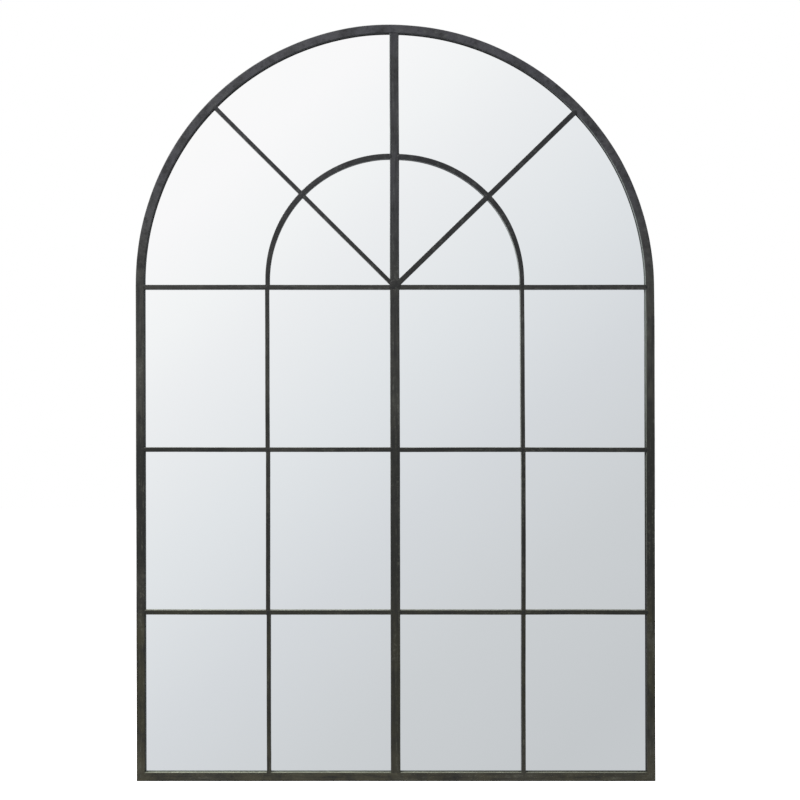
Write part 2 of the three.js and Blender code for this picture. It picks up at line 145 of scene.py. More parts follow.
class MirrorSizes(bpy.types.PropertyGroup):
    """Sizes of the finished pieces."""

    frame_edge: length(
        "Frame edge radius", "Rounding of the outer frame's long edges", 0.0021, 0.0002, 0.005)
    bar_edge: length("Bar edge radius", "Rounding of the grille bars' long edges", 0.0014, 0.0002, 0.003)
    ring_pitch: length("Cut pitch", "Distance between the cuts along a bar", 0.008, 0.002, 0.05)
    wander: length("Wander", "How far a hand-set bar strays from a straight line", 0.0005, 0.0, 0.002)
    hammering: length(
        "Unevenness", "Depth of the small dents and dressing marks on the faces", 0.00010, 0.0, 0.001)
    arc_steps: IntProperty(
        name="Arch steps", description="Segments round the outer arch", default=180, min=24, max=360)
    weld_reach: length(
        "Weld reach", "How far a weld fillet runs along the bars it joins", 0.0013, 0.0005, 0.01)
    hub_radius: length(
        "Hub radius", "Radius of the dressed weld where the fan bars meet", 0.0125, 0.005, 0.03)
    lean: length(
        "Lean", "How far the welded frame leans to the left for each metre of height", 0.0021, 0.0, 0.01)
    flat_shoulder: length(
        "Flat shoulder", "How much the arch's right shoulder falls short of a true circle",
        0.0036, 0.0, 0.008)
    mullion_swell: length(
        "Mullion swell", "How much wider the mullion is below the springing line than its section",
        0.0014, 0.0, 0.003)
    fan_difference: share(
        "Fan difference", "How much stouter the right fan bar is, and the left one slighter", 0.14, 0.0, 0.3)
    rail_rise: length(
        "Rail rise", "How much taller the bottom rail's face is than the frame's other faces",
        0.0009, 0.0, 0.004)
    muntin_share: share("Muntin share", "A muntin's face as a share of a cross bar's", 0.90, 0.5, 1.2)
    haunch: length("Haunch", "How far the inner arch bulges at its haunches", 0.0030, 0.0, 0.005)
    bar_swell: share(
        "Bar swell", "How much wider a grille bar's face is with its coat, as a fraction", 0.06, 0.0, 0.2)
    top_bar_drop: length(
        "Top bar drop", "How far the top cross bars were set below their line", 0.0021, 0.0, 0.004)
    screw_head: length("Screw head radius", "Radius of the pan heads", 0.0035)
    plate_gauge: length("Plate gauge", "Thickness of the clips and straps", 0.0015)
    hinge_drop: length("Hinge drop", "How far the rings' hinges lie below the springing line", 0.090)
    wire_radius: length("Wire radius", "Radius of the rings' wire", 0.0015)
    recess: length("Screw recess", "Reach of the cross recess in a screw's head", 0.0021, 0.0005, 0.003)


class MirrorColours(bpy.types.PropertyGroup):
    """Colours of the materials."""

    # The five tones below are set by height, and each is partly the coat's own colour and partly painted
    # light and shade.
    arch_coat_and_light: tone("Coat on the arch", "Cool dark coat near the crown", 0.048, 0.047, 0.0535)
    middle_coat_and_light: tone("Coat in the middle", "Neutral dark coat at the springing line", 0.036, 0.035, 0.030)
    deep_coat_and_light: tone("Deep coat", "Near-black olive coat below the middle", 0.0085, 0.0092, 0.0066)
    lower_coat_and_light: tone("Waxed coat", "Olive brown coat towards the foot", 0.029, 0.0275, 0.0145)
    foot_coat_and_light: tone("Coat at the foot", "Brown grey coat on the bottom rail", 0.044, 0.041, 0.029)
    # A near-black tone, used both where the coat lies thick and as painted shade.
    thick_coat_and_shade: tone("Thick coat", "Near-black tone where the coat lies thick", 0.0052, 0.0056, 0.0060)
    bloom: tone("Bloom", "Grey brown tone of the dry patches", 0.052, 0.050, 0.048)
    streak: tone("Streak", "Olive tone of the rubbing marks", 0.085, 0.087, 0.080)
    # The two casts are partly the coat's own tint and partly painted light: cool near the crown, olive near
    # the foot.
    low_cast: tone("Low cast", "Olive cast of the coat near the foot", 1.0, 0.985, 0.80)
    high_cast: tone("High cast", "Cool cast of the coat near the crown", 0.93, 0.96, 1.0)
    # Pale tone of the painted highlight on faces that look up or left.
    painted_highlight_tone: tone("Burnish", "Tone where the coat is rubbed thin", 0.36, 0.395, 0.37)
    silver: tone("Silver", "Tint of the mirror's reflection", 0.93, 0.945, 0.94)
    board: tone("Hardboard", "Main tone of the backing board", 0.235, 0.135, 0.072)
    zinc: tone("Zinc", "Main tone of the clips, screws and hangers", 0.56, 0.57, 0.57)
    rubber: tone("Rubber", "Main tone of the bumpers and blocks", 0.012, 0.012, 0.012)


# ---------------------------------------------------------------- material helpers

def link(tree, source, target):
    tree.links.new(source, target)


def node(tree, kind, inputs, **settings):
    """Adds a node. Each input is given as a value, or as the socket that feeds it."""
    made = tree.nodes.new(kind)
    for key, value in settings.items():
        setattr(made, key, value)
    for key, value in inputs.items():
        if isinstance(value, bpy.types.NodeSocket):
            link(tree, value, made.inputs[key])
        else:
            made.inputs[key].default_value = value
    return made


def emptied(owner):
    """The node tree of a new material or world, without its nodes."""
    owner.use_nodes = True
    owner.node_tree.nodes.clear()
    return owner.node_tree


def new_material(name, **values):
    """Makes a material with one principled shader, and returns its node tree and the shader."""
    tree = emptied(bpy.data.materials.new(name))
    shader = node(tree, "ShaderNodeBsdfPrincipled", values)
    node(tree, "ShaderNodeOutputMaterial", {"Surface": shader.outputs["BSDF"]})
    return tree, shader


def coordinates(tree, kind):
    return node(tree, "ShaderNodeTexCoord", {}).outputs[kind]


def split(tree, kind):
    """The X, Y and Z sockets of a kind of coordinates."""
    return node(tree, "ShaderNodeSeparateXYZ", {"Vector": coordinates(tree, kind)}).outputs


def object_noise(tree, scale, detail=4.0, roughness=0.55, stretch=(1.0, 1.0, 1.0), distortion=0.0):
    """A noise on Object coordinates, with the scale in cells per metre."""
    mapping = node(tree, "ShaderNodeMapping", {"Vector": coordinates(tree, "Object"), "Scale": stretch})
    inputs = {"Scale": scale, "Detail": detail, "Roughness": roughness, "Distortion": distortion}
    return node(tree, "ShaderNodeTexNoise", {"Vector": mapping.outputs["Vector"], **inputs}).outputs["Fac"]


def ranged(tree, value, low_in, high_in, low_out=0.0, high_out=1.0):
    """The value remapped from one range to another and clamped."""
    inputs = {"Value": value, "From Min": low_in, "From Max": high_in, "To Min": low_out, "To Max": high_out}
    return node(tree, "ShaderNodeMapRange", inputs, clamp=True).outputs["Result"]


def blended(tree, factor, first, second, blend_type="MIX"):
    """A mix of two colours, each either a colour or a socket."""
    sockets = (c if isinstance(c, bpy.types.NodeSocket) else (*c, 1.0) for c in (first, second))
    inputs = {"Factor": factor, **dict(zip("AB", sockets))}
    return node(tree, "ShaderNodeMix", inputs, data_type="RGBA", blend_type=blend_type).outputs["Result"]


def maths(tree, operation, *values):
    return node(tree, "ShaderNodeMath", dict(enumerate(values)), operation=operation).outputs["Value"]


def multiplied(tree, first, second):
    return maths(tree, "MULTIPLY", first, second)


def ramped(tree, value, stops):
    """A colour from a value between 0 and 1, by stops of place and colour."""
    ramp = node(tree, "ShaderNodeValToRGB", {"Fac": value})
    elements = ramp.color_ramp.elements
    while len(elements) < len(stops):
        elements.new(0.5)
    for element, (place, colour) in zip(elements, stops):
        element.position = place
    for element, (place, colour) in zip(elements, stops):
        element.color = (*colour, 1.0)
    return ramp.outputs["Color"]


def bumped(tree, shader, height, distance, strength, **below):
    """Feeds a height through a bump into the shader, and returns its normal for another bump above it."""
    inputs = {"Strength": strength, "Distance": distance, "Height": height, **below}
    normal = node(tree, "ShaderNodeBump", inputs).outputs["Normal"]
    link(tree, normal, shader.inputs["Normal"])
    return normal


# ---------------------------------------------------------------- materials

def coat_and_painted_light_by_height(tree, height, colours):
    """The tone from the foot to the crown, as stops on the height in metres. It is partly the coat's own tone
    and partly painted light and shade by height.
    """
    stops = (
        (0.000, colours.foot_coat_and_light),
        (0.035, colours.foot_coat_and_light),
        (0.120, colours.lower_coat_and_light),
        (0.360, colours.lower_coat_and_light),
        (0.470, colours.deep_coat_and_light),
        (0.740, colours.deep_coat_and_light),
        (0.860, colours.middle_coat_and_light),
        (1.160, colours.middle_coat_and_light),
        (1.420, colours.arch_coat_and_light),
    )
    top = SPRINGING + OUTER_RADIUS
    return ramped(tree, ranged(tree, height, 0.0, top), [(place / top, colour) for place, colour in stops])


def painted_highlight_places(tree, place, facing):
    """Where the painted highlight goes, as if light fell from the upper left: on faces that look up or left,
    more towards the left, and on the mullion's left arris high up.
    """
    towards_left = ranged(tree, place["X"], -0.3, 0.6, 1.0, 0.45)
    above = multiplied(tree, ranged(tree, facing["Z"], 0.45, 0.90), towards_left)
    aside = multiplied(tree, ranged(tree, facing["X"], -0.55, -0.92), ranged(tree, place["Z"], 0.45, 1.10))
    near_crown = ranged(tree, place["Z"], SPRINGING + 0.25, SPRINGING + 0.35)
    arris = multiplied(tree, ranged(tree, facing["X"], -0.15, -0.6), near_crown)
    on_mullion = ranged(tree, maths(tree, "ABSOLUTE", place["X"]), 0.02, 0.015)
    arris = multiplied(tree, arris, on_mullion)
    return maths(tree, "MAXIMUM", maths(tree, "MAXIMUM", above, aside), arris)


def blackened_iron(name, colours, brushed, bar_darkening):
    """A dark coat rubbed onto tube: cool above, olive and brown below, with streaks along the bar. Its tone
    by height is partly the coat's own and partly painted light and shade, and it carries a painted highlight
    on faces that look up or left, painted shade on the front arrises, and painted shade that grows towards
    the right.

    The streaks' scale along each axis is given in cells per metre, and how much darker a grille bar is made
    as a fraction, which also steepens the painted shade towards the right.
    """
    tree, shader = new_material(name, Metallic=0.0, IOR=1.4)
    mottle = object_noise(tree, 24.0, detail=7.0, roughness=0.62, distortion=0.4)
    patches = object_noise(tree, 5.5)
    grain = object_noise(tree, 330.0, detail=3.0, roughness=0.6)
    blots = object_noise(tree, 95.0, detail=5.0, roughness=0.65, distortion=1.0)
    streaks = object_noise(tree, 1.0, roughness=0.6, stretch=brushed)
    place = split(tree, "Object")
    facing = split(tree, "Normal")
    height = maths(tree, "ADD", place["Z"], ranged(tree, patches, 0.3, 0.7, -0.07, 0.07))
    coat = coat_and_painted_light_by_height(tree, height, colours)
    dry = multiplied(tree, ranged(tree, patches, 0.50, 0.66), ranged(tree, blots, 0.35, 0.6, 0.25, 0.8))
    laid = multiplied(tree, ranged(tree, mottle, 0.42, 0.66), ranged(tree, blots, 0.35, 0.6, 0.4, 0.9))
    # Painted shade that grows towards the right, away from the key lamp on the left. A grille bar is also
    # made darker all over by its bar darkening.
    away = ranged(tree, place["X"], -0.6, 0.6, bar_darkening, 0.10 + 1.6 * bar_darkening)
    scuffs = multiplied(tree, ranged(tree, streaks, 0.50, 0.66), ranged(tree, blots, 0.45, 0.62, 0.0, 0.6))
    furrows = ranged(tree, streaks, 0.46, 0.32, 0.0, 0.7)
    specks = ranged(tree, grain, 0.60, 0.74, 0.0, 0.3)
    # Painted shade on the rounded front arrises, which turn away from the light and so read darker than the
    # flat faces.
    edges = ranged(tree, facing["Y"], -0.96, -0.70, 0.0, 0.75)
    # Painted highlight on faces that look up or left, uneven with the mottle and fullest on the bottom rail.
    painted_highlight = multiplied(tree, painted_highlight_places(tree, place, facing), ranged(tree, mottle, 0.3, 0.6, 0.55, 1.0))
    painted_highlight = multiplied(tree, painted_highlight, ranged(tree, place["Z"], 0.03, 0.2, 1.0, 0.62))
    for factor, colour in (
            (dry, colours.bloom),
            (laid, colours.thick_coat_and_shade),
            (away, colours.thick_coat_and_shade),
            (scuffs, colours.streak),
            (furrows, colours.thick_coat_and_shade),
            (specks, colours.streak),
            (edges, colours.thick_coat_and_shade),
            (painted_highlight, colours.painted_highlight_tone)):
        coat = blended(tree, factor, coat, colour)
    # The cast by height is partly the coat's own tint and partly painted light.
    cast = blended(tree, ranged(tree, place["Z"], 0.5, 1.3), colours.low_cast, colours.high_cast)
    link(tree, blended(tree, 1.0, coat, cast, "MULTIPLY"), shader.inputs["Base Color"])
    link(tree, ranged(tree, blots, 0.35, 0.7, 0.46, 0.28), shader.inputs["Roughness"])
    ground = bumped(tree, shader, mottle, 0.0006, 0.4)
    lined = bumped(tree, shader, streaks, 0.00015, 0.3, Normal=ground)
    bumped(tree, shader, grain, 0.00012, 0.4, Normal=lined)


def mirror_silver(name, colours):
    """Clear mirror, with the faintest haze where it was last wiped."""
    tree, shader = new_material(name, Metallic=1.0)
    shader.inputs["Base Color"].default_value = (*colours.silver, 1.0)
    wipe = object_noise(tree, 7.0, roughness=0.6, stretch=(1.0, 1.0, 0.4), distortion=0.8)
    link(tree, ranged(tree, wipe, 0.45, 0.75, 0.0, 0.018), shader.inputs["Roughness"])


def glass_rear(name):
    """The grey-green protective paint behind the silver."""
    tree, shader = new_material(name, Metallic=0.0, Roughness=0.6)
    cloud = object_noise(tree, 40.0, detail=5.0)
    link(tree, blended(tree, cloud, (0.10, 0.12, 0.115), (0.16, 0.18, 0.17)), shader.inputs["Base Color"])


def hardboard(name, colours):
    """Pressed wood fibre: short pale fibres on brown."""
    tree, shader = new_material(name, Metallic=0.0, Roughness=0.82)
    fibre = object_noise(tree, 420.0, detail=6.0, roughness=0.7, stretch=(1.0, 1.0, 0.45), distortion=1.5)
    cloud = object_noise(tree, 6.0, detail=5.0, roughness=0.6)
    dark, pale = (tuple(share_of * c for c in colours.board) for share_of in (0.80, 1.45))
    body = blended(tree, ranged(tree, cloud, 0.3, 0.7), dark, colours.board)
    link(tree, blended(tree, ranged(tree, fibre, 0.5, 0.72), body, pale), shader.inputs["Base Color"])
    bumped(tree, shader, fibre, 0.0003, 0.6)


def zinc_plate(name, colours):
    """Bright zinc on pressed steel, slightly clouded."""
    tree, shader = new_material(name, Metallic=1.0)
    cloud = object_noise(tree, 180.0, detail=5.0, roughness=0.6)
    scratch = object_noise(tree, 900.0, detail=2.0, stretch=(1.0, 1.0, 0.08))
    dull = tuple(0.72 * c for c in colours.zinc)
    link(tree, blended(tree, ranged(tree, cloud, 0.35, 0.7), colours.zinc, dull), shader.inputs["Base Color"])
    link(tree, ranged(tree, cloud, 0.3, 0.7, 0.26, 0.46), shader.inputs["Roughness"])
    bumped(tree, shader, scratch, 0.00004, 0.4)


def moulded_rubber(name, colours):
    """Matt rubber with a fine bloom."""
    tree, shader = new_material(name, Metallic=0.0, Roughness=0.78)
    bloom = object_noise(tree, 260.0, detail=5.0)
    dusted = blended(tree, ranged(tree, bloom, 0.4, 0.8), colours.rubber, (0.03, 0.03, 0.03))
    link(tree, dusted, shader.inputs["Base Color"])
    bumped(tree, shader, bloom, 0.00008, 0.5)


def sealant(name):
    """Grey sealant that was wiped back. Its colour holds painted light and shade: pale grey high up and
    towards the left, where light falls on the flanks, and near-black painted shade near the crown and low on
    the right.
    """
    tree, shader = new_material(name, Metallic=0.0, Roughness=0.5)
    ripple = object_noise(tree, 120.0, detail=3.0)
    place = split(tree, "Object")
    high_up = ranged(tree, place["Z"], 0.55, 1.0)
    left = ranged(tree, place["X"], 0.45, -0.2)
    below_crown = ranged(tree, place["Z"], SPRINGING + 0.12, SPRINGING + 0.05)
    # Painted light: pale where high up or on the left. Painted shade: near-black near the crown and low on
    # the right.
    pale = multiplied(tree, maths(tree, "MAXIMUM", high_up, left), below_crown)
    grey = blended(tree, ripple, (0.10, 0.115, 0.112), (0.16, 0.18, 0.175))
    link(tree, blended(tree, pale, (0.012, 0.012, 0.012), grey), shader.inputs["Base Color"])
    bumped(tree, shader, ripple, 0.0004, 0.5)


# Each look is the names of a piece's materials and the name of its slot.
# The iron materials carry painted light and shade as well as the coat's colours.
IRON = {
    (part, way): ([f"rubbed {part} iron {way}"], "blackened_steel")
    for part in ("frame", "bar") for way in ("bent", "up", "across")}
MIRROR = (["clear mirror", "mirror back paint"], "mirror")
BOARD = (["brown hardboard"], "hardboard")
ZINC = (["bright zinc plate"], "zinc")
RUBBER = (["black moulded rubber"], "rubber")
# The sealant's colour holds painted light and shade.
SEALANT = (["wiped grey sealant"], "rubber")

# The brush marks' cells per metre across a bar, along it, and on a bar that is bent.
FINE, LONG, EVEN = 210.0, 13.0, 70.0
BRUSHINGS = {"bent": (EVEN, EVEN, EVEN), "up": (FINE, FINE, LONG), "across": (LONG, FINE, FINE)}
# How much darker each kind of grille bar is made. It also steepens the painted shade towards the right.
BAR_DARKENINGS = {"bent": 0.54, "up": 0.26, "across": 0.26}


def make_materials(colours):
    for (part, way), (names, slot) in IRON.items():
        blackened_iron(names[0], colours, BRUSHINGS[way], BAR_DARKENINGS[way] if part == "bar" else 0.0)
    mirror_silver(MIRROR[0][0], colours)
    glass_rear(MIRROR[0][1])
    hardboard(BOARD[0][0], colours)
    zinc_plate(ZINC[0][0], colours)
    moulded_rubber(RUBBER[0][0], colours)
    sealant(SEALANT[0][0])


# ---------------------------------------------------------------- mesh helpers

def linked(name, data):
    """A new object in the scene."""
    thing = bpy.data.objects.new(name, data)
    bpy.context.scene.collection.objects.link(thing)
    return thing


def mesh_from(bm, name):
    """Turns a bmesh into a mesh, and frees it."""
    mesh = bpy.data.meshes.new(name)
    bm.to_mesh(mesh)
    bm.free()
    return mesh


def outward(bm):
    bmesh.ops.recalc_face_normals(bm, faces=bm.faces[:])


def moved(bm, vec, verts=None):
    bmesh.ops.translate(bm, vec=vec, verts=verts or bm.verts[:])


def placed(bm, place, angle=0.0, axis="Y"):
    """Turns a bmesh about an axis through the origin, and then moves it to its place."""
    matrix = Matrix.Translation(place) @ Matrix.Rotation(angle, 4, axis)
    bmesh.ops.transform(bm, matrix=matrix, verts=bm.verts[:])


def extruded(bm, faces, along):
    """Extrudes faces along a vector. They stay as the solid's other end."""
    made = bmesh.ops.extrude_face_region(bm, geom=faces, use_keep_orig=True)
    moved(bm, along, new_verts(made))


def new_verts(made):
    return [g for g in made["geom"] if isinstance(g, bmesh.types.BMVert)]


def bevelled(bm, geom, offset, segments, affect="EDGES", clamp_overlap=False):
    bmesh.ops.bevel(bm, geom=geom, offset=offset, offset_type="OFFSET", segments=segments, profile=0.5,
                    affect=affect, material=-1, clamp_overlap=clamp_overlap)


def sharp_edges(bm, degrees):
    return [e for e in bm.edges if len(e.link_faces) == 2 and e.calc_face_angle(0.0) > math.radians(degrees)]


def joined(target, source):
    """Adds one bmesh's geometry to another."""
    mesh = mesh_from(source, "carried")
    target.from_mesh(mesh)
    bpy.data.meshes.remove(mesh)


def arch_stray(aside, above):
    """The arch's stray in the direction of a place, fading out below the springing line."""
    angle = math.degrees(math.atan2(max(0.0, above), aside))
    for (start, first), (end, second) in zip(ARCH_STRAYS, ARCH_STRAYS[1:]):
        if start <= angle <= end:
            t = (angle - start) / (end - start)
            stray = first + (second - first) * t * t * (3.0 - 2.0 * t)
            break
    fade = max(0.0, 1.0 + min(0.0, above) / FADE_BELOW)
    return stray * MM * fade * min(1.0, math.hypot(aside, above) / OUTER_RADIUS)


def out_of_true(bm):
    """Leans a piece with the whole welded frame, and gives it the arch's strays."""
    sizes = bpy.context.scene.mirror_sizes
    for vert in bm.verts:
        aside = vert.co.x
        above = vert.co.z - SPRINGING
        vert.co.x -= sizes.lean * (vert.co.z - SPRINGING * LEAN_CENTRE)
        reach = math.hypot(aside, above)
        if reach > 0.0:
            stray = arch_stray(aside, above)
            vert.co.x += stray * aside / reach
            vert.co.z += stray * max(0.0, above) / reach
        if above > 0.0 and aside > 0.0:
            bulge = sizes.flat_shoulder * 2.0 * aside * above / reach ** 2 * min(1.0, reach / OUTER_RADIUS)
            vert.co.x -= bulge * aside / reach
            vert.co.z -= bulge * above / reach


def finished(bm, name, look, stands_for=None, body="frame", sharp=35.0):
    """Turns a bmesh, already in place, into a piece that rides on a body."""
    if body == "frame":
        out_of_true(bm)
    for face in bm.faces:
        face.smooth = True
    for edge in bm.edges:
        if len(edge.link_faces) == 2:
            edge.smooth = edge.calc_face_angle(0.0) < math.radians(sharp)
    materials, slot = look
    piece = linked(name, mesh_from(bm, name))
    for material in materials:
        piece.data.materials.append(bpy.data.materials[material])
    weighted = piece.modifiers.new("even shading", "WEIGHTED_NORMAL")
    weighted.keep_sharp = True
    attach(piece, body)
    if stands_for:
        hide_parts(stands_for)


def rounded_section(width, depth, radius):
    """A rounded rectangle in the XY plane, width along X and depth along Y."""
    bm = bmesh.new()
    bmesh.ops.create_grid(bm, x_segments=1, y_segments=1, size=0.5)
    bmesh.ops.scale(bm, vec=(width, depth, 1.0), verts=bm.verts[:])
    bevelled(bm, bm.verts[:], radius, 4, "VERTICES")
    return bm


def straight_bar(long, width, depth, radius, pitch):
    """A bar of rounded section along +Z from 0 to its length, cut across at even steps."""
    bm = rounded_section(width, depth, radius)
    extruded(bm, bm.faces[:], (0.0, 0.0, long))
    long_edges = [e for e in bm.edges if abs(e.verts[0].co.z - e.verts[1].co.z) > long / 2]
    cuts = max(2, round(long / pitch)) - 1
    bmesh.ops.subdivide_edges(bm, edges=long_edges, cuts=cuts, use_grid_fill=True)
    outward(bm)
    return bm


def bent_bar(centre_radius, width, depth, radius, from_angle, to_angle, steps):
    """A bar bent round the arch's centre, from one angle to another above the right-hand springing point."""
    bm = rounded_section(width, depth, radius)
    moved(bm, (centre_radius, 0.0, 0.0))
    placed(bm, (0.0, 0.0, 0.0), -from_angle)
    bmesh.ops.delete(bm, geom=bm.faces[:], context="FACES_ONLY")
    bmesh.ops.spin(bm, geom=bm.verts[:] + bm.edges[:], cent=(0.0, 0.0, 0.0), axis=(0.0, -1.0, 0.0),
                   dvec=(0.0, 0.0, 0.0), angle=to_angle - from_angle, steps=steps, use_duplicate=False)
    bmesh.ops.holes_fill(bm, edges=[edge for edge in bm.edges if edge.is_boundary], sides=0)
    outward(bm)
    moved(bm, ARCH_CENTRE)
    return bm


def trimmed(bm, point, beyond):
    """Cuts away what lies beyond a plane, and closes the cut."""
    geometry = bm.verts[:] + bm.edges[:] + bm.faces[:]
    cut = bmesh.ops.bisect_plane(
        bm, geom=geometry, dist=1e-7, plane_co=point, plane_no=beyond, clear_outer=True)
    rim = [g for g in cut["geom_cut"] if isinstance(g, bmesh.types.BMEdge)]
    bmesh.ops.holes_fill(bm, edges=rim, sides=0)


def worked_by_hand(bm, sizes, seed, stray=1.0):
    """Lets a bar stray a little from its line, and dents its faces slightly."""
    shift = Vector((seed * 3.7, seed * 1.9, seed * 5.3))
    bm.normal_update()
    for vert in bm.verts:
        slow = noise.noise_vector(vert.co * 4.5 + shift)
        dent = noise.noise(vert.co * 55.0 + shift * 2.0)
        fine = noise.noise(vert.co * 140.0 - shift)
        vert.co += Vector((slow.x, slow.y * 0.5, slow.z)) * sizes.wander * stray
        vert.co += vert.normal * sizes.hammering * (dent + 0.5 * fine)


# ---------------------------------------------------------------- outer frame

# The frame's tubes stray less than the thin bars, and their mitres stand open by this much.
FRAME_STRAY = 0.4
MITRE_OPENING = 0.05 * MM
FRAME_LINE = OUTER_RADIUS - FRAME_FACE / 2


def make_bottom_rail(sizes):
    bm = straight_bar(2 * OUTER_RADIUS, FRAME_FACE, FRAME_DEPTH, sizes.frame_edge, sizes.ring_pitch)
    placed(bm, (-OUTER_RADIUS, 0.0, FRAME_FACE / 2), QUARTER_TURN)
    for side, sign in SIDES:
        trimmed(bm, (sign * (OUTER_RADIUS - MITRE_OPENING), 0.0, 0.0), (sign, 0.0, 1.0))
    for vert in bm.verts:
        if vert.co.z > FRAME_FACE / 2:
            vert.co.z += sizes.rail_rise
    worked_by_hand(bm, sizes, 1, FRAME_STRAY)
    finished(bm, "rail_tube", IRON["frame", "across"], "bottom_rail")


def make_stile(sizes, side, sign):
    bm = straight_bar(SPRINGING, FRAME_FACE, FRAME_DEPTH, sizes.frame_edge, sizes.ring_pitch)
    moved(bm, (sign * FRAME_LINE, 0.0, 0.0))
    trimmed(bm, (sign * (OUTER_RADIUS + MITRE_OPENING), 0.0, 0.0), (-sign, 0.0, -1.0))
    worked_by_hand(bm, sizes, 2 + sign, FRAME_STRAY)
    finished(bm, f"{side}_stile_tube", IRON["frame", "up"], f"{side}_stile")


def make_arch(sizes):
    bm = bent_bar(FRAME_LINE, FRAME_FACE, FRAME_DEPTH, sizes.frame_edge, 0.0, math.pi, sizes.arc_steps)
    worked_by_hand(bm, sizes, 5, FRAME_STRAY)
    finished(bm, "arch_tube", IRON["frame", "bent"], "frame_arch")


# ---------------------------------------------------------------- grille

# How far the bars' ends run into what they are welded to.
MULLION_OVERLAP = 1.0 * MM
MUNTIN_OVERLAP = 0.5 * MM
FAN_OVERLAP = 1.5 * MM
FAN_START = 6.0 * MM
# The mullion swells over this length, up to this far above the springing line.
SWELL_LENGTH = 0.4
SWELL_TOP = 0.15


def bar_between(sizes, start, end, width, seed, stands_for):
    """A grille bar between two points of the XZ plane."""
    along = Vector(end) - Vector(start)
    coated = width * (1.0 + sizes.bar_swell)
    bm = straight_bar(along.length, coated, GRILLE_DEPTH, sizes.bar_edge, sizes.ring_pitch)
    placed(bm, (start[0], GRILLE_MIDDLE, start[1]), math.atan2(along.x, along.y))
    worked_by_hand(bm, sizes, seed)
    slope = abs(along.x) / along.length
    way = "up" if slope < 0.1 else "across" if slope > 0.9 else "bent"
    finished(bm, f"{stands_for}_bar", IRON["bar", way], stands_for)


def make_mullion(sizes):
    """The mullion swells a little below the springing line."""
    foot = FRAME_FACE - MULLION_OVERLAP
    top = SPRINGING + OPENING_RADIUS
    bm = straight_bar(top - foot, 2 * HALF_MULLION, GRILLE_DEPTH, sizes.bar_edge, sizes.ring_pitch)
    moved(bm, (0.0, GRILLE_MIDDLE, foot))
    for vert in bm.verts:
        below = min(1.0, max(0.0, (SPRINGING + SWELL_TOP - vert.co.z) / SWELL_LENGTH))
        side = math.copysign(1.0, vert.co.x)
        vert.co.x += side * sizes.mullion_swell / 2 * (2.0 * below - 0.6) - 0.6 * MM * below
        if side < 0.0:
            vert.co.x -= sizes.mullion_swell * 1.3 * (1.0 - below)
    worked_by_hand(bm, sizes, 11)
    finished(bm, "mullion_bar", IRON["bar", "up"], "centre_mullion")


def bar_settings(sizes):
    """The heights that the cross bars were welded at: all a little low, and the upper rows the lowest."""
    last = len(ROWS) - 1
    shares = [0.5 + 0.5 * row / last for row in range(last + 1)]
    return [height - sizes.top_bar_drop * part for height, part in zip(CROSS_BAR_HEIGHTS, shares)]


def make_cross_bars(sizes, side, sign):
    near = sign * (HALF_MULLION - MULLION_OVERLAP)
    far = sign * (OPENING_RADIUS + MULLION_OVERLAP)
    for row, height in zip(ROWS, bar_settings(sizes)):
        seed = 20 + row + 5 * sign
        bar_between(sizes, (near, height), (far, height), BAR_FACE, seed, f"{side}_cross_bar_{row}")


def muntin_place(side, sign, row, end):
    """Where a muntin's foot (end 0) or head (end 1) stands, or the inner arch's foot above the top row."""
    if row > len(ROWS):
        return sign * MUNTIN_OFFSET - (RIGHT_FOOT_IN if sign > 0 else 0.0)
    return sign * MUNTIN_OFFSET + MUNTIN_STRAYS[side][row - 1][end] * MM


def bar_edge_height(sizes, row, up):
    """The height of a cross bar's upper or lower edge. Row 0 is the bottom rail."""
    if row == 0:
        return FRAME_FACE
    return bar_settings(sizes)[row - 1] + up * HALF_BAR * (1.0 + sizes.bar_swell)


def make_muntins(sizes, side, sign):
    for row in ROWS:
        foot = (muntin_place(side, sign, row, 0), bar_edge_height(sizes, row - 1, 1.0) - MUNTIN_OVERLAP)
        head = (muntin_place(side, sign, row, 1), bar_edge_height(sizes, row, -1.0) + MUNTIN_OVERLAP)
        width = BAR_FACE * sizes.muntin_share
        bar_between(sizes, foot, head, width, 40 + row + 5 * sign, f"{side}_muntin_{row}")


def make_inner_arch(sizes, side, sign):
    top = math.acos(HALF_MULLION / MUNTIN_OFFSET) + 0.002
    foot = -(sizes.top_bar_drop + 0.4 * MM) / MUNTIN_OFFSET
    angles = (foot, top) if sign > 0 else (math.pi - top, math.pi - foot)
    bm = bent_bar(MUNTIN_OFFSET, BAR_FACE, GRILLE_DEPTH, sizes.bar_edge, *angles, sizes.arc_steps // 3)
    moved(bm, (0.0, GRILLE_MIDDLE, 0.0))
    for vert in bm.verts:
        arm = vert.co - ARCH_CENTRE
        radius = math.hypot(arm.x, arm.z)
        angle = math.asin(min(1.0, max(0.0, arm.z / radius)))
        stout = 1.0 + (ARCH_STOUTNESS - 1.0) * min(1.0, angle / math.radians(30))
        bulge = sizes.haunch * math.sin(2.0 * angle)
        if sign > 0:
            bulge -= RIGHT_FOOT_IN * max(0.0, 1.0 - angle / math.radians(35))
        wanted = MUNTIN_OFFSET + (radius - MUNTIN_OFFSET) * stout + bulge
        vert.co.x = arm.x * wanted / radius
        vert.co.z = SPRINGING + arm.z * wanted / radius
    worked_by_hand(bm, sizes, 60 + sign)
    finished(bm, f"{side}_inner_arch_bar", IRON["bar", "bent"], f"{side}_inner_arch")


def fan_point(sizes, sign, distance):
    """A point of a fan bar's centre line, a given distance from the hub. The right bar sits a little high."""
    angle = FAN_ANGLES[sign]
    rise = RIGHT_FAN_RISE if sign > 0 else 0.0
    across = sign * (distance * math.sin(angle) - rise * math.cos(angle))
    foot = HUB_HEIGHT - sizes.top_bar_drop
    return (across, foot + distance * math.cos(angle) + rise * math.sin(angle))


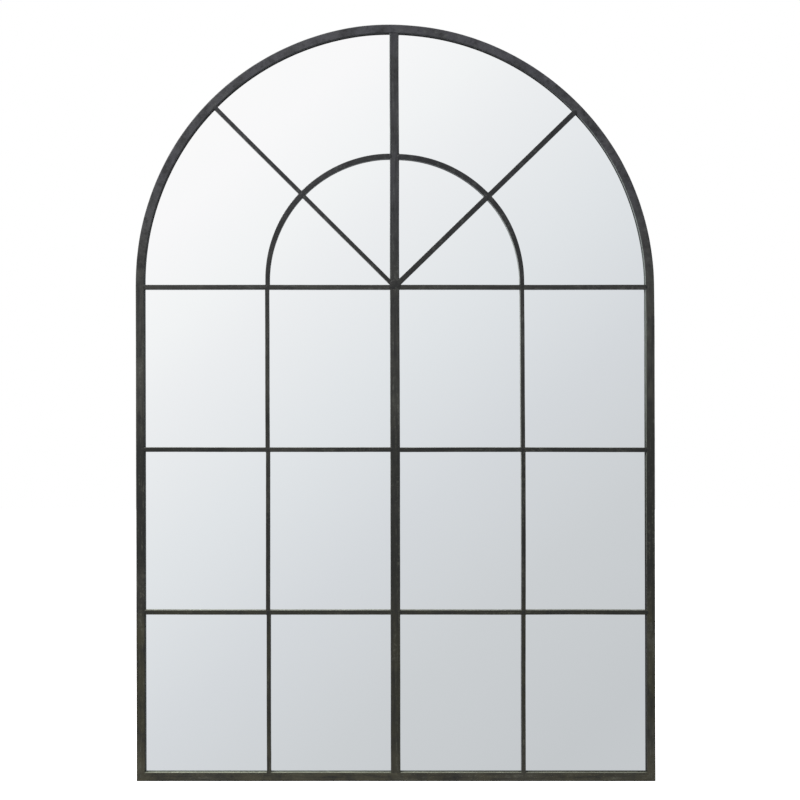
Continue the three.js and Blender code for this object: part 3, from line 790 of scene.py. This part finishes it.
def fan_distance(sign, radius):
    """The distance from the hub at which a fan bar's centre line meets a circle round the arch's centre."""
    angle = FAN_ANGLES[sign]
    drop = SPRINGING - HUB_HEIGHT
    return drop * math.cos(angle) + math.sqrt(radius ** 2 - (drop * math.sin(angle)) ** 2)


def fan_width(sizes, sign):
    """The right-hand fan bar is the stouter of the two."""
    return BAR_FACE * (1.0 + sign * sizes.fan_difference)


def arch_edges(sizes):
    """The inner arch's inner and outer radius where the fan bars meet it."""
    middle = MUNTIN_OFFSET + sizes.haunch
    return middle - HALF_BAR * ARCH_STOUTNESS, middle + HALF_BAR * ARCH_STOUTNESS


def make_fan_bars(sizes, side, sign):
    inside, outside = arch_edges(sizes)
    for part, start, end, seed in (
            ("inner", FAN_START, fan_distance(sign, inside) + FAN_OVERLAP, 70),
            ("outer", fan_distance(sign, outside) - FAN_OVERLAP,
             fan_distance(sign, OPENING_RADIUS) + FAN_OVERLAP, 75)):
        bar_between(sizes, fan_point(sizes, sign, start), fan_point(sizes, sign, end), fan_width(sizes, sign),
                    seed + sign, f"{side}_fan_bar_{part}")


# ---------------------------------------------------------------- welds

def weld_fillet(bm, corner, first, second, reach, seed):
    """A hollow fillet in the corner between two edges, from near the bars' front faces to their backs."""
    corner = Vector(corner)
    first = Vector(first).normalized()
    second = Vector(second).normalized()
    uneven = 1.0 + 0.35 * noise.noise(Vector((corner.x * 31.0, corner.y * 17.0, seed)))
    a = corner + first * reach * uneven
    b = corner + second * reach * (2.0 - uneven)
    buried = corner - (first + second).normalized() * 0.8 * MM
    parts = 6
    curve = []
    for step in range(parts + 1):
        t = step / parts
        curve.append(a.lerp(b, t).lerp(corner, 1.5 * t * (1.0 - t)))
    outline = [buried, *curve]
    face = bm.faces.new([bm.verts.new((p.x, FRAME_FRONT + 0.9 * MM, p.y)) for p in outline])
    extruded(bm, [face], (0.0, GRILLE_DEPTH - 1.1 * MM, 0.0))


def on_circle(start, along, radius):
    """Where a line in the XZ plane leaves a circle round the arch's centre."""
    to_centre = Vector((0.0, SPRINGING)) - start
    middle = along.dot(to_centre)
    aside = to_centre - along * middle
    return start + along * (middle + math.sqrt(radius ** 2 - aside.length_squared))


def fan_corners(sizes, sign, reach):
    """The corners between a fan bar and the arches, the mullion and the cross bar."""
    start = Vector(fan_point(sizes, sign, 0.0))
    along = Vector(fan_point(sizes, sign, 1.0)) - start
    across = Vector((-sign * along.y, sign * along.x))
    half = fan_width(sizes, sign) * (1.0 + sizes.bar_swell) / 2
    upper, lower = start + across * half, start - across * half
    inside, outside = arch_edges(sizes)
    corners = []
    for edge, aside in ((upper, across), (lower, -across)):
        for radius, away in ((inside, -1.0), (outside, 1.0), (OPENING_RADIUS, -1.0)):
            corners.append((on_circle(edge, along, radius), along * away, aside, reach))
    up_mullion = upper + along * ((sign * HALF_MULLION - upper.x) / along.x)
    corners.append((up_mullion, (0.0, 1.0), along, reach))
    bar_top = bar_edge_height(sizes, len(ROWS), 1.0)
    corners.append((lower + along * ((bar_top - lower.y) / along.y), (sign, 0.0), along, reach))
    return corners


def weld_corners(sizes):
    """Every corner between two bars: its place, the directions of the two edges, and the weld's reach."""
    reach = sizes.weld_reach
    small = reach * 0.8
    half_muntin = HALF_BAR * sizes.muntin_share * (1.0 + sizes.bar_swell)
    rail_top = FRAME_FACE + sizes.rail_rise
    up, down = (0.0, 1.0), (0.0, -1.0)
    corners = []
    for side, sign in SIDES:
        out = (sign, 0.0)
        mullion = sign * HALF_MULLION
        for row in ROWS:
            for way in (down, up):
                edge = bar_edge_height(sizes, row, way[1])
                corners.append(((mullion, edge), out, way, reach))
                corners.append(((sign * OPENING_RADIUS, edge), (-sign, 0.0), way, reach))
                above = way == up
                middle = muntin_place(side, sign, row + 1 if above else row, 0 if above else 1)
                half = HALF_BAR if above and row == len(ROWS) else half_muntin
                for across in (-1.0, 1.0):
                    corners.append(((middle + across * half, edge), (across, 0.0), way, small))
        for across in (-1.0, 1.0):
            foot = (muntin_place(side, sign, 1, 0) + across * half_muntin, rail_top)
            corners.append((foot, (across, 0.0), up, small))
            radius = MUNTIN_OFFSET + across * HALF_BAR * ARCH_STOUTNESS
            height = SPRINGING + math.sqrt(radius ** 2 - HALF_MULLION ** 2)
            corners.append(((mullion, height), out, (0.0, across), reach))
        corners.append(((mullion, rail_top), out, up, reach))
        crown = SPRINGING + math.sqrt(OPENING_RADIUS ** 2 - HALF_MULLION ** 2)
        corners.append(((mullion, crown), out, down, reach))
        corners.extend(fan_corners(sizes, sign, reach))
    return corners


def make_weld_fillets(sizes):
    bm = bmesh.new()
    for index, corner in enumerate(weld_corners(sizes)):
        weld_fillet(bm, *corner, seed=index)
    outward(bm)
    finished(bm, "weld_fillets", IRON["bar", "bent"], sharp=60.0)


def weld_lump(bm, place, half_width, half_height, proud, seed):
    """A dressed lump of weld on the bars' front faces: a low, uneven dome, with its sizes in millimetres."""
    verts = bmesh.ops.create_uvsphere(bm, u_segments=28, v_segments=14, radius=1.0)["verts"]
    bmesh.ops.rotate(bm, cent=(0.0, 0.0, 0.0), matrix=Matrix.Rotation(QUARTER_TURN, 3, "X"), verts=verts)
    for vert in verts:
        uneven = 1.0 + 0.16 * noise.noise(vert.co * 1.7 + Vector((seed, 0.0, 0.0)))
        uneven += 0.07 * noise.noise(vert.co * 5.0 + Vector((0.0, seed, 0.0)))
        vert.co *= uneven * MM
        vert.co = Vector((vert.co.x * half_width, vert.co.y * proud, vert.co.z * half_height))
    moved(bm, (place[0], FRAME_FRONT + 0.2 * MM, place[1]), verts)


def make_weld_lumps(sizes):
    bm = bmesh.new()
    hub = sizes.hub_radius / MM
    weld_lump(bm, (0.0, HUB_HEIGHT + 4.0 * MM), hub, hub * 0.85, 1.1, 1.0)
    for index, (side, sign) in enumerate(SIDES):
        for row, height in enumerate(bar_settings(sizes)):
            seed = row + index
            weld_lump(bm, (sign * HALF_MULLION, height), 4.2, 4.0, 0.5, 3.0 + seed)
            weld_lump(bm, (sign * MUNTIN_OFFSET, height), 4.7, 4.6, 0.5, 7.0 + seed)
            weld_lump(bm, (sign * (OPENING_RADIUS + MULLION_OVERLAP), height), 3.6, 4.2, 0.5, 11.0 + seed)
        for radius, size, proud, seed in (
                (MUNTIN_OFFSET + sizes.haunch, 5.0, 0.6, 17.0), (OPENING_RADIUS + 2.0 * MM, 4.8, 0.5, 19.0)):
            place = fan_point(sizes, sign, fan_distance(sign, radius))
            weld_lump(bm, place, size, size, proud, seed + index)
        weld_lump(bm, (sign * HALF_MULLION, SPRINGING + MUNTIN_OFFSET), 4.4, 4.4, 0.5, 23.0 + index)
    outward(bm)
    finished(bm, "weld_lumps", IRON["bar", "bent"], sharp=180.0)


# ---------------------------------------------------------------- mirror, board and sealant

def arched_sheet(front, rear, arris, steps):
    """A flat arched sheet as large as the glass, upright between two depths, with its edges arrised."""
    bm = bmesh.new()
    bmesh.ops.create_circle(bm, cap_ends=True, radius=GLASS_RADIUS, segments=2 * steps)
    placed(bm, (0.0, front, SPRINGING), QUARTER_TURN, "X")
    lower = [v for v in bm.verts if v.co.z < SPRINGING - 1e-6]
    bmesh.ops.delete(bm, geom=lower, context="VERTS")
    ends = sorted(bm.verts, key=lambda v: v.co.z)[:2]
    left, right = sorted(ends, key=lambda v: v.co.x)
    corners = [bm.verts.new((v.co.x, front, GLASS_FOOT)) for v in (left, right)]
    for pair in ((left, corners[0]), corners, (corners[1], right)):
        bm.edges.new(pair)
    bmesh.ops.contextual_create(bm, geom=bm.edges[:])
    extruded(bm, bm.faces[:], (0.0, rear - front, 0.0))
    outward(bm)
    rims = [e for e in bm.edges if abs(e.verts[0].co.y - e.verts[1].co.y) < 1e-7]
    bevelled(bm, rims, arris, 2, clamp_overlap=True)
    return bm


def make_mirror(sizes):
    bm = arched_sheet(GLASS_FRONT, GLASS_REAR, 0.6 * MM, sizes.arc_steps)
    for face in bm.faces:
        face.material_index = 1 if face.calc_center_median().y > GLASS_FRONT + 0.8 * MM else 0
    finished(bm, "mirror_sheet", MIRROR, "mirror_glass", sharp=20.0)


def make_board(sizes):
    bm = arched_sheet(low("backing_board").y, high("backing_board").y, 0.4 * MM, sizes.arc_steps)
    finished(bm, "hardboard_back", BOARD, "backing_board", sharp=20.0)


def make_sealant(sizes):
    """The bead that fills the slit round the glass, below its face, and a lip in front of its foot."""
    gap = OPENING_RADIUS - GLASS_RADIUS
    squeezed = 0.6 * MM
    edge = 0.5 * MM
    cut_pitch = 0.05
    middle = GLASS_RADIUS + gap / 2
    depth = (GLASS_REAR - GLASS_FRONT) * 0.7
    level = GLASS_FRONT + depth / 2 + 0.4 * MM
    bm = bmesh.new()
    arc = bent_bar(middle, gap + squeezed, depth, edge, 0.0, math.pi, sizes.arc_steps)
    moved(arc, (0.0, level, 0.0))
    joined(bm, arc)
    for side, sign in SIDES:
        leg = straight_bar(SPRINGING - FRAME_FACE, gap + squeezed, depth, edge, cut_pitch)
        moved(leg, (sign * middle, level, FRAME_FACE))
        joined(bm, leg)
    rise = GLASS_FOOT - FRAME_FACE
    lip_foot, lip_top = FRAME_FACE + 1.0 * MM, GLASS_FOOT + 0.8 * MM
    for width, thick, rounding, front, height in (
            (rise + squeezed, depth, edge, level, FRAME_FACE + rise / 2),
            (lip_top - lip_foot, 0.8 * MM, 0.3 * MM, GLASS_FRONT - 0.4 * MM, (lip_foot + lip_top) / 2)):
        strip = straight_bar(2 * GLASS_RADIUS, width, thick, rounding, cut_pitch)
        placed(strip, (-GLASS_RADIUS, front, height), QUARTER_TURN)
        joined(bm, strip)
    finished(bm, "sealant_bead", SEALANT, sharp=50.0)


# ---------------------------------------------------------------- hardware behind

CLIP_WIDTH = 14.0 * MM
CLIP_REACH = 14.0 * MM
CLIP_EDGE_GAP = 1.0 * MM
CLIP_HEEL = 6.0 * MM
CLIP_BEND = 1.4 * MM
SCREW_HEAD_HEIGHT = 2.2 * MM
RING_BEND = 2.5 * MM


def bent_strip(points, width, bend=None):
    """A plate bent along a line in the XY plane, as wide as asked along Z, with its inner points rounded."""
    bm = bmesh.new()
    verts = [bm.verts.new((x, y, -width / 2)) for x, y in points]
    for pair in zip(verts, verts[1:]):
        bm.edges.new(pair)
    for vert in verts[1:-1] if bend else ():
        bevelled(bm, [vert], bend, 6, "VERTICES")
    made = bmesh.ops.extrude_edge_only(bm, edges=bm.edges[:])
    moved(bm, (0.0, 0.0, width), new_verts(made))
    outward(bm)
    return bm


def thickened(bm, gauge, corner):
    """Gives a bent strip its thickness, rounds its four corners and eases its edges."""
    bevelled(bm, [v for v in bm.verts if len(v.link_edges) == 2], corner, 6, "VERTICES")
    bmesh.ops.solidify(bm, geom=bm.faces[:], thickness=gauge)
    outward(bm)
    bevelled(bm, sharp_edges(bm, 60), 0.12 * gauge, 2, clamp_overlap=True)


def make_clip(sizes, name, edge, turn):
    """A stepped clip. In its own frame +X reaches from the tube's inner edge over the board."""
    gauge = sizes.plate_gauge
    foot = high(name).y - gauge / 2
    tongue = low(name).y + gauge / 2
    heel = FRAME_FACE / 2 + CLIP_HEEL
    riser = CLIP_EDGE_GAP + gauge / 2
    reach = CLIP_EDGE_GAP + gauge + CLIP_REACH
    bm = bent_strip(((-heel, foot), (riser, foot), (riser, tongue), (reach, tongue)), CLIP_WIDTH, CLIP_BEND)
    long_edges = [e for e in bm.edges if e.calc_length() > 5.0 * MM]
    bmesh.ops.subdivide_edges(bm, edges=long_edges, cuts=2, use_grid_fill=True)
    thickened(bm, gauge, 2.2 * MM)
    depths = [v.co.y for v in bm.verts]
    moved(bm, (0.0, (foot + tongue) / 2 - (max(depths) + min(depths)) / 2, 0.0))
    placed(bm, edge, turn)
    finished(bm, f"{name}_plate", ZINC, name, sharp=50.0)


def make_clips(sizes):
    for name in sorted(NODES):
        if not name.endswith("_clip"):
            continue
        middle = middle_of(name)
        if "rail" in name:
            make_clip(sizes, name, (middle.x, 0.0, FRAME_FACE), -QUARTER_TURN)
        elif "stile" in name:
            side = math.copysign(1.0, middle.x)
            make_clip(sizes, name, (side * OPENING_RADIUS, 0.0, middle.z), math.pi if side > 0 else 0.0)
        else:
            angle = math.atan2(middle.z - SPRINGING, middle.x)
            edge = (OPENING_RADIUS * math.cos(angle), 0.0, SPRINGING + OPENING_RADIUS * math.sin(angle))
            make_clip(sizes, name, edge, math.pi - angle)


def evaluated_mesh(thing):
    return bpy.data.meshes.new_from_object(thing.evaluated_get(bpy.context.evaluated_depsgraph_get()))


def recessed(bm, reach):
    """Cuts a tapered cross into a screw head whose top faces +Y."""
    blade_height = 4.0 * MM
    narrowed = 0.35
    cutter_bm = bmesh.new()
    for turn, thick in ((0.0, 0.85 * MM), (QUARTER_TURN, 0.86 * MM)):
        verts = bmesh.ops.create_cube(cutter_bm, size=1.0)["verts"]
        bmesh.ops.scale(cutter_bm, vec=(2 * reach, blade_height, thick), verts=verts)
        for vert in verts:
            if vert.co.y < 0.0:
                vert.co.x *= narrowed
        bmesh.ops.rotate(cutter_bm, cent=(0.0, 0.0, 0.0), matrix=Matrix.Rotation(turn, 3, "Y"), verts=verts)
    moved(cutter_bm, (0.0, 2.9 * MM, 0.0))
    head = bpy.data.meshes.new("head")
    bm.to_mesh(head)
    carrier = linked("head", head)
    cutter = linked("cross", mesh_from(cutter_bm, "cross"))
    cut = carrier.modifiers.new("cross", "BOOLEAN")
    cut.operation = "DIFFERENCE"
    cut.solver = "EXACT"
    cut.use_self = True
    cut.object = cutter
    result = evaluated_mesh(carrier)
    bm.clear()
    bm.from_mesh(result)
    for mesh in (head, cutter.data, result):
        bpy.data.meshes.remove(mesh)


def screw_shape(sizes):
    """A pan-head screw along Y, the underside of its head at 0 and its head towards +Y."""
    radius = sizes.screw_head
    shank = radius / 2
    dome_steps = 8
    outline = [(0.0, -9.0 * MM), (shank * 0.35, -8.2 * MM), (shank, -6.2 * MM), (shank, 0.0), (radius, 0.0)]
    for step in range(dome_steps):
        angle = QUARTER_TURN * step / dome_steps
        rise = 0.30 + 0.70 * math.sin(angle) ** 0.9
        outline.append((radius * math.cos(angle) ** 0.62, SCREW_HEAD_HEIGHT * rise))
    outline.append((0.0, SCREW_HEAD_HEIGHT))
    bm = bmesh.new()
    verts = [bm.verts.new((x, y, 0.0)) for x, y in outline]
    edges = [bm.edges.new(pair) for pair in zip(verts, verts[1:])]
    bmesh.ops.spin(bm, geom=verts + edges, cent=(0.0, 0.0, 0.0), axis=(0.0, 1.0, 0.0), dvec=(0.0, 0.0, 0.0),
                   angle=2 * math.pi, steps=40, use_duplicate=False)
    bmesh.ops.remove_doubles(bm, verts=bm.verts[:], dist=1e-6)
    outward(bm)
    recessed(bm, sizes.recess)
    return bm


def make_screws(sizes):
    """Every screw, each with its cross turned its own way."""
    shape = screw_shape(sizes)
    for index, name in enumerate(sorted(name for name in NODES if "screw" in name)):
        bm = shape.copy()
        middle = middle_of(name)
        placed(bm, (middle.x, high(name).y - SCREW_HEAD_HEIGHT, middle.z), 0.35 + 1.7 * index)
        finished(bm, f"{name}_head", ZINC, name, sharp=40.0)
    shape.free()


def make_strap(sizes, side):
    """A strap that curls round the ring's straight side. Its line is drawn in XY and then stood up."""
    name = f"{side}_hanger_strap"
    gauge = sizes.plate_gauge
    hinge = SPRINGING - sizes.hinge_drop
    size = high(name) - low(name)
    middle = middle_of(name)
    curl = (size.y - gauge) / 2
    curl_steps = 24
    line = [(low(name).z - hinge, -curl)]
    line.extend((x * MM, -curl) for x in (-45.0, -30.0, -15.0, -6.0))
    for step in range(curl_steps + 1):
        angle = math.radians(-90 + 292 * step / curl_steps)
        line.append((curl * math.cos(angle), curl * math.sin(angle)))
    bm = bent_strip(line, size.x)
    thickened(bm, gauge, 2.6 * MM)
    for vert in bm.verts:
        vert.co = Vector((middle.x + vert.co.z, middle.y + vert.co.y, hinge + vert.co.x))
    moved(bm, (0.0, low(name).y - min(v.co.y for v in bm.verts), 0.0))
    outward(bm)
    finished(bm, f"{name}_plate", ZINC, name, sharp=50.0)


def make_ring(sizes, side):
    """A D of round wire: a straight side in the strap's curl, two tight bends and a round end."""
    name = f"{side}_d_ring"
    wire = sizes.wire_radius
    middle = middle_of(name)
    half = (high(name).x - low(name).x) / 2 - wire
    top = high(name).z - wire - RING_BEND
    line = []
    for centre_x, centre_z, radius, start, end, steps in (
            (half - RING_BEND, top, RING_BEND, 90, 0, 8),
            (0.0, low(name).z + wire + half, half, 0, -180, 32),
            (RING_BEND - half, top, RING_BEND, 180, 90, 8)):
        for step in range(steps + 1):
            angle = math.radians(start + (end - start) * step / steps)
            line.append((centre_x + radius * math.cos(angle), centre_z + radius * math.sin(angle)))
    curve = bpy.data.curves.new(name, "CURVE")
    curve.dimensions = "3D"
    curve.bevel_depth = wire
    curve.bevel_resolution = 6
    spline = curve.splines.new("POLY")
    spline.points.add(len(line) - 1)
    for point, (x, z) in zip(spline.points, line):
        point.co = (middle.x + x, middle.y, z, 1.0)
    spline.use_cyclic_u = True
    mesh = evaluated_mesh(linked(f"{name}_line", curve))
    bpy.data.curves.remove(curve)
    bm = bmesh.new()
    bm.from_mesh(mesh)
    bpy.data.meshes.remove(mesh)
    outward(bm)
    finished(bm, f"{name}_wire", ZINC, name, f"{side}_ring", 60.0)


def make_bumper(name):
    """A round rubber foot: rounded rim, and a shallow dish in its face."""
    size = high(name) - low(name)
    radius = size.x / 2
    rim = 1.4 * MM
    bm = bmesh.new()
    bmesh.ops.create_cone(bm, cap_ends=True, segments=48, radius1=radius, radius2=radius * 0.93, depth=size.y)
    face = max(bm.faces, key=lambda f: f.calc_center_median().z)
    bevelled(bm, list(face.edges), rim, 5)
    face = max((f for f in bm.faces if len(f.verts) > 8), key=lambda f: f.calc_center_median().z)
    bmesh.ops.inset_region(bm, faces=[face], thickness=rim, depth=0.0)
    bmesh.ops.inset_region(bm, faces=[face], thickness=0.7 * MM, depth=-0.5 * MM)
    placed(bm, middle_of(name), -QUARTER_TURN, "X")
    outward(bm)
    finished(bm, f"{name}_foot", RUBBER, name, sharp=40.0)


def make_setting_block(name):
    """An extruded rubber strip with eased edges and a shallow recess in each broad side."""
    bm = bmesh.new()
    bmesh.ops.create_cube(bm, size=1.0)
    bmesh.ops.scale(bm, vec=high(name) - low(name), verts=bm.verts[:])
    broad = [f for f in bm.faces if abs(f.normal.z) > 0.9]
    bmesh.ops.inset_individual(bm, faces=broad, thickness=1.2 * MM, depth=0.0)
    bmesh.ops.inset_individual(bm, faces=broad, thickness=0.3 * MM, depth=-0.3 * MM)
    bevelled(bm, sharp_edges(bm, 80), 0.25 * MM, 2, clamp_overlap=True)
    moved(bm, middle_of(name))
    finished(bm, f"{name}_strip", RUBBER, name, sharp=40.0)


# ---------------------------------------------------------------- studio

# The photograph's pixels: their size on the object, where the eye stands, and the object's middle and foot.
IMAGE_SIZE = 800
PIXEL = 2.3115 * MM
EYE_COLUMN, EYE_ROW = 350.0, 425.0
MIDDLE_COLUMN, FOOT_ROW = 395.35, 781.45
EYE_DISTANCE = 4.0

FLOOR_HEIGHT = -0.35
WHITE = (1.0, 1.0, 1.0, 1.0)

# What the mirror sees: a plain studio that falls from white at the upper left to grey at the lower right.
STUDIO_FALL = (
    (0.000, (250, 250, 250)),
    (0.111, (248, 248, 249)),
    (0.220, (241, 243, 244)),
    (0.286, (236, 238, 240)),
    (0.457, (224, 228, 231)),
    (0.629, (212, 216, 220)),
    (0.800, (203, 207, 210)),
    (1.000, (196, 200, 203)),
)
FALL_DIRECTION = (1.5561, 0.0, -1.8032)
FALL_START = 0.4788


def make_camera():
    """The photograph's view: square on, from left of the middle and just below half height."""
    data = bpy.data.cameras.new("camera")
    data.sensor_width = 36.0
    data.lens = data.sensor_width * EYE_DISTANCE / (IMAGE_SIZE * PIXEL)
    data.shift_x = 0.5 - EYE_COLUMN / IMAGE_SIZE
    data.shift_y = EYE_ROW / IMAGE_SIZE - 0.5
    camera = linked("camera", data)
    across = (EYE_COLUMN - MIDDLE_COLUMN) * PIXEL
    camera.location = (across, FRAME_FRONT - EYE_DISTANCE, (FOOT_ROW - EYE_ROW) * PIXEL)
    camera.rotation_euler = (QUARTER_TURN, 0.0, 0.0)
    bpy.context.scene.camera = camera


def display(value):
    """A screen value from 0 to 255 as scene light."""
    v = value / 255.0
    return v / 12.92 if v <= 0.04045 else ((v + 0.055) / 1.055) ** 2.4


def make_world(colours):
    """White behind the object, the studio's fall in the mirror, and soft light on everything else."""
    bpy.context.scene.world = bpy.data.worlds.new("studio")
    tree = emptied(bpy.context.scene.world)
    inputs = {0: coordinates(tree, "Generated"), 1: FALL_DIRECTION}
    fall = node(tree, "ShaderNodeVectorMath", inputs, operation="DOT_PRODUCT").outputs["Value"]
    stops = [
        (place, [display(level) / tint for level, tint in zip(levels, colours.silver)])
        for place, levels in STUDIO_FALL]
    ramp = ramped(tree, maths(tree, "ADD", fall, FALL_START), stops)
    soft_light = {"Color": (0.97, 0.985, 1.0, 1.0), "Strength": 0.55}
    shaders = [
        node(tree, "ShaderNodeBackground", inputs).outputs["Background"]
        for inputs in (soft_light, {"Color": ramp}, {"Color": WHITE})]
    path = node(tree, "ShaderNodeLightPath", {}).outputs
    seen = shaders[0]
    for ray, shader in (("Is Glossy Ray", shaders[1]), ("Is Camera Ray", shaders[2])):
        seen = node(tree, "ShaderNodeMixShader", {"Fac": path[ray], 1: seen, 2: shader}).outputs["Shader"]
    node(tree, "ShaderNodeOutputWorld", {"Surface": seen})


def make_lamp():
    data = bpy.data.lights.new("key lamp", "AREA")
    data.shape = "SQUARE"
    data.size = 2.6
    data.energy = 260.0
    data.color = (1.0, 0.985, 0.965)
    lamp = linked("key lamp", data)
    lamp.location = (-3.2, -3.6, 4.6)
    aim = Vector((0.0, 0.0, 0.9)) - lamp.location
    lamp.rotation_euler = aim.to_track_quat("-Z", "Y").to_euler()


def make_floor():
    """A pale floor below the hung mirror, which the camera sees as white away from the middle."""
    bm = bmesh.new()
    bmesh.ops.create_grid(bm, x_segments=1, y_segments=1, size=20.0)
    moved(bm, (0.0, 0.0, FLOOR_HEIGHT))
    floor = linked("floor", mesh_from(bm, "floor"))
    material = bpy.data.materials.new("pale floor")
    tree = emptied(material)
    shaded = node(tree, "ShaderNodeBsdfDiffuse", {"Color": (0.86, 0.86, 0.86, 1.0)})
    reach = node(tree, "ShaderNodeVectorMath", {0: coordinates(tree, "Object")}, operation="LENGTH")
    white = ranged(tree, reach.outputs["Value"], 0.9, 1.5, 0.33, 1.0)
    seen = node(tree, "ShaderNodeLightPath", {}).outputs["Is Camera Ray"]
    lift = node(tree, "ShaderNodeEmission", {"Strength": multiplied(tree, seen, white)})
    both = node(tree, "ShaderNodeAddShader", {0: shaded.outputs["BSDF"], 1: lift.outputs["Emission"]})
    node(tree, "ShaderNodeOutputMaterial", {"Surface": both.outputs["Shader"]})
    floor.data.materials.append(material)
    floor.visible_glossy = False


# ---------------------------------------------------------------- operators

class MIRROR_OT_outer_frame(bpy.types.Operator):
    """Make the arch, the stiles and the bottom rail"""

    bl_idname = "window_mirror.outer_frame"
    bl_label = "Outer frame"

    def execute(self, context):
        sizes = context.scene.mirror_sizes
        make_bottom_rail(sizes)
        make_arch(sizes)
        for side, sign in SIDES:
            make_stile(sizes, side, sign)
        return {"FINISHED"}


class MIRROR_OT_grille(bpy.types.Operator):
    """Make the mullion, cross bars, muntins, inner arch and fan bars"""

    bl_idname = "window_mirror.grille"
    bl_label = "Grille"

    def execute(self, context):
        sizes = context.scene.mirror_sizes
        make_mullion(sizes)
        for side, sign in SIDES:
            make_cross_bars(sizes, side, sign)
            make_muntins(sizes, side, sign)
            make_inner_arch(sizes, side, sign)
            make_fan_bars(sizes, side, sign)
        return {"FINISHED"}


class MIRROR_OT_welds(bpy.types.Operator):
    """Make the weld fillets and the dressed lumps"""

    bl_idname = "window_mirror.welds"
    bl_label = "Welds"

    def execute(self, context):
        sizes = context.scene.mirror_sizes
        make_weld_fillets(sizes)
        make_weld_lumps(sizes)
        return {"FINISHED"}


class MIRROR_OT_glazing(bpy.types.Operator):
    """Make the mirror, its backing board and the sealant bead"""

    bl_idname = "window_mirror.glazing"
    bl_label = "Glazing"

    def execute(self, context):
        sizes = context.scene.mirror_sizes
        make_mirror(sizes)
        make_board(sizes)
        make_sealant(sizes)
        return {"FINISHED"}


class MIRROR_OT_fixings(bpy.types.Operator):
    """Make the clips, the screws and the rubber pieces"""

    bl_idname = "window_mirror.fixings"
    bl_label = "Fixings"

    def execute(self, context):
        sizes = context.scene.mirror_sizes
        make_clips(sizes)
        make_screws(sizes)
        for name in sorted(NODES):
            if "bumper" in name:
                make_bumper(name)
            elif "block" in name:
                make_setting_block(name)
        return {"FINISHED"}


class MIRROR_OT_hangers(bpy.types.Operator):
    """Make the hanger straps and the rings that swing in them"""

    bl_idname = "window_mirror.hangers"
    bl_label = "Hangers"

    def execute(self, context):
        sizes = context.scene.mirror_sizes
        for side, sign in SIDES:
            make_strap(sizes, side)
            make_ring(sizes, side)
        return {"FINISHED"}


class MIRROR_OT_studio(bpy.types.Operator):
    """Make the camera, the world, the floor and the key lamp"""

    bl_idname = "window_mirror.studio"
    bl_label = "Studio"

    def execute(self, context):
        make_camera()
        make_world(context.scene.mirror_colours)
        make_floor()
        make_lamp()
        context.scene.view_settings.view_transform = "Standard"
        return {"FINISHED"}


class MIRROR_PT_panel(bpy.types.Panel):
    """The mirror's pieces and settings"""

    bl_label = "Window mirror"
    bl_space_type = "VIEW_3D"
    bl_region_type = "UI"
    bl_category = "Window Mirror"

    def draw(self, context):
        for operator in PIECE_OPERATORS:
            self.layout.operator(operator.bl_idname)
        for group in (context.scene.mirror_sizes, context.scene.mirror_colours):
            for key in group.bl_rna.properties.keys():
                if key not in {"rna_type", "name"}:
                    self.layout.prop(group, key)


PIECE_OPERATORS = (
    MIRROR_OT_outer_frame,
    MIRROR_OT_grille,
    MIRROR_OT_welds,
    MIRROR_OT_glazing,
    MIRROR_OT_fixings,
    MIRROR_OT_hangers,
    MIRROR_OT_studio,
)
CLASSES = (MirrorSizes, MirrorColours, *PIECE_OPERATORS, MIRROR_PT_panel)


def register():
    for cls in CLASSES:
        bpy.utils.register_class(cls)
    bpy.types.Scene.mirror_sizes = PointerProperty(type=MirrorSizes)
    bpy.types.Scene.mirror_colours = PointerProperty(type=MirrorColours)


def unregister():
    del bpy.types.Scene.mirror_sizes
    del bpy.types.Scene.mirror_colours
    for cls in reversed(CLASSES):
        bpy.utils.unregister_class(cls)


def main():
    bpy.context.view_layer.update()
    noise.seed_set(WANDER_SEED)
    register()
    make_materials(bpy.context.scene.mirror_colours)
    bpy.ops.window_mirror.outer_frame()
    bpy.ops.window_mirror.grille()
    bpy.ops.window_mirror.welds()
    bpy.ops.window_mirror.glazing()
    bpy.ops.window_mirror.fixings()
    bpy.ops.window_mirror.hangers()
    bpy.ops.window_mirror.studio()


if __name__ == "__main__":
    main()
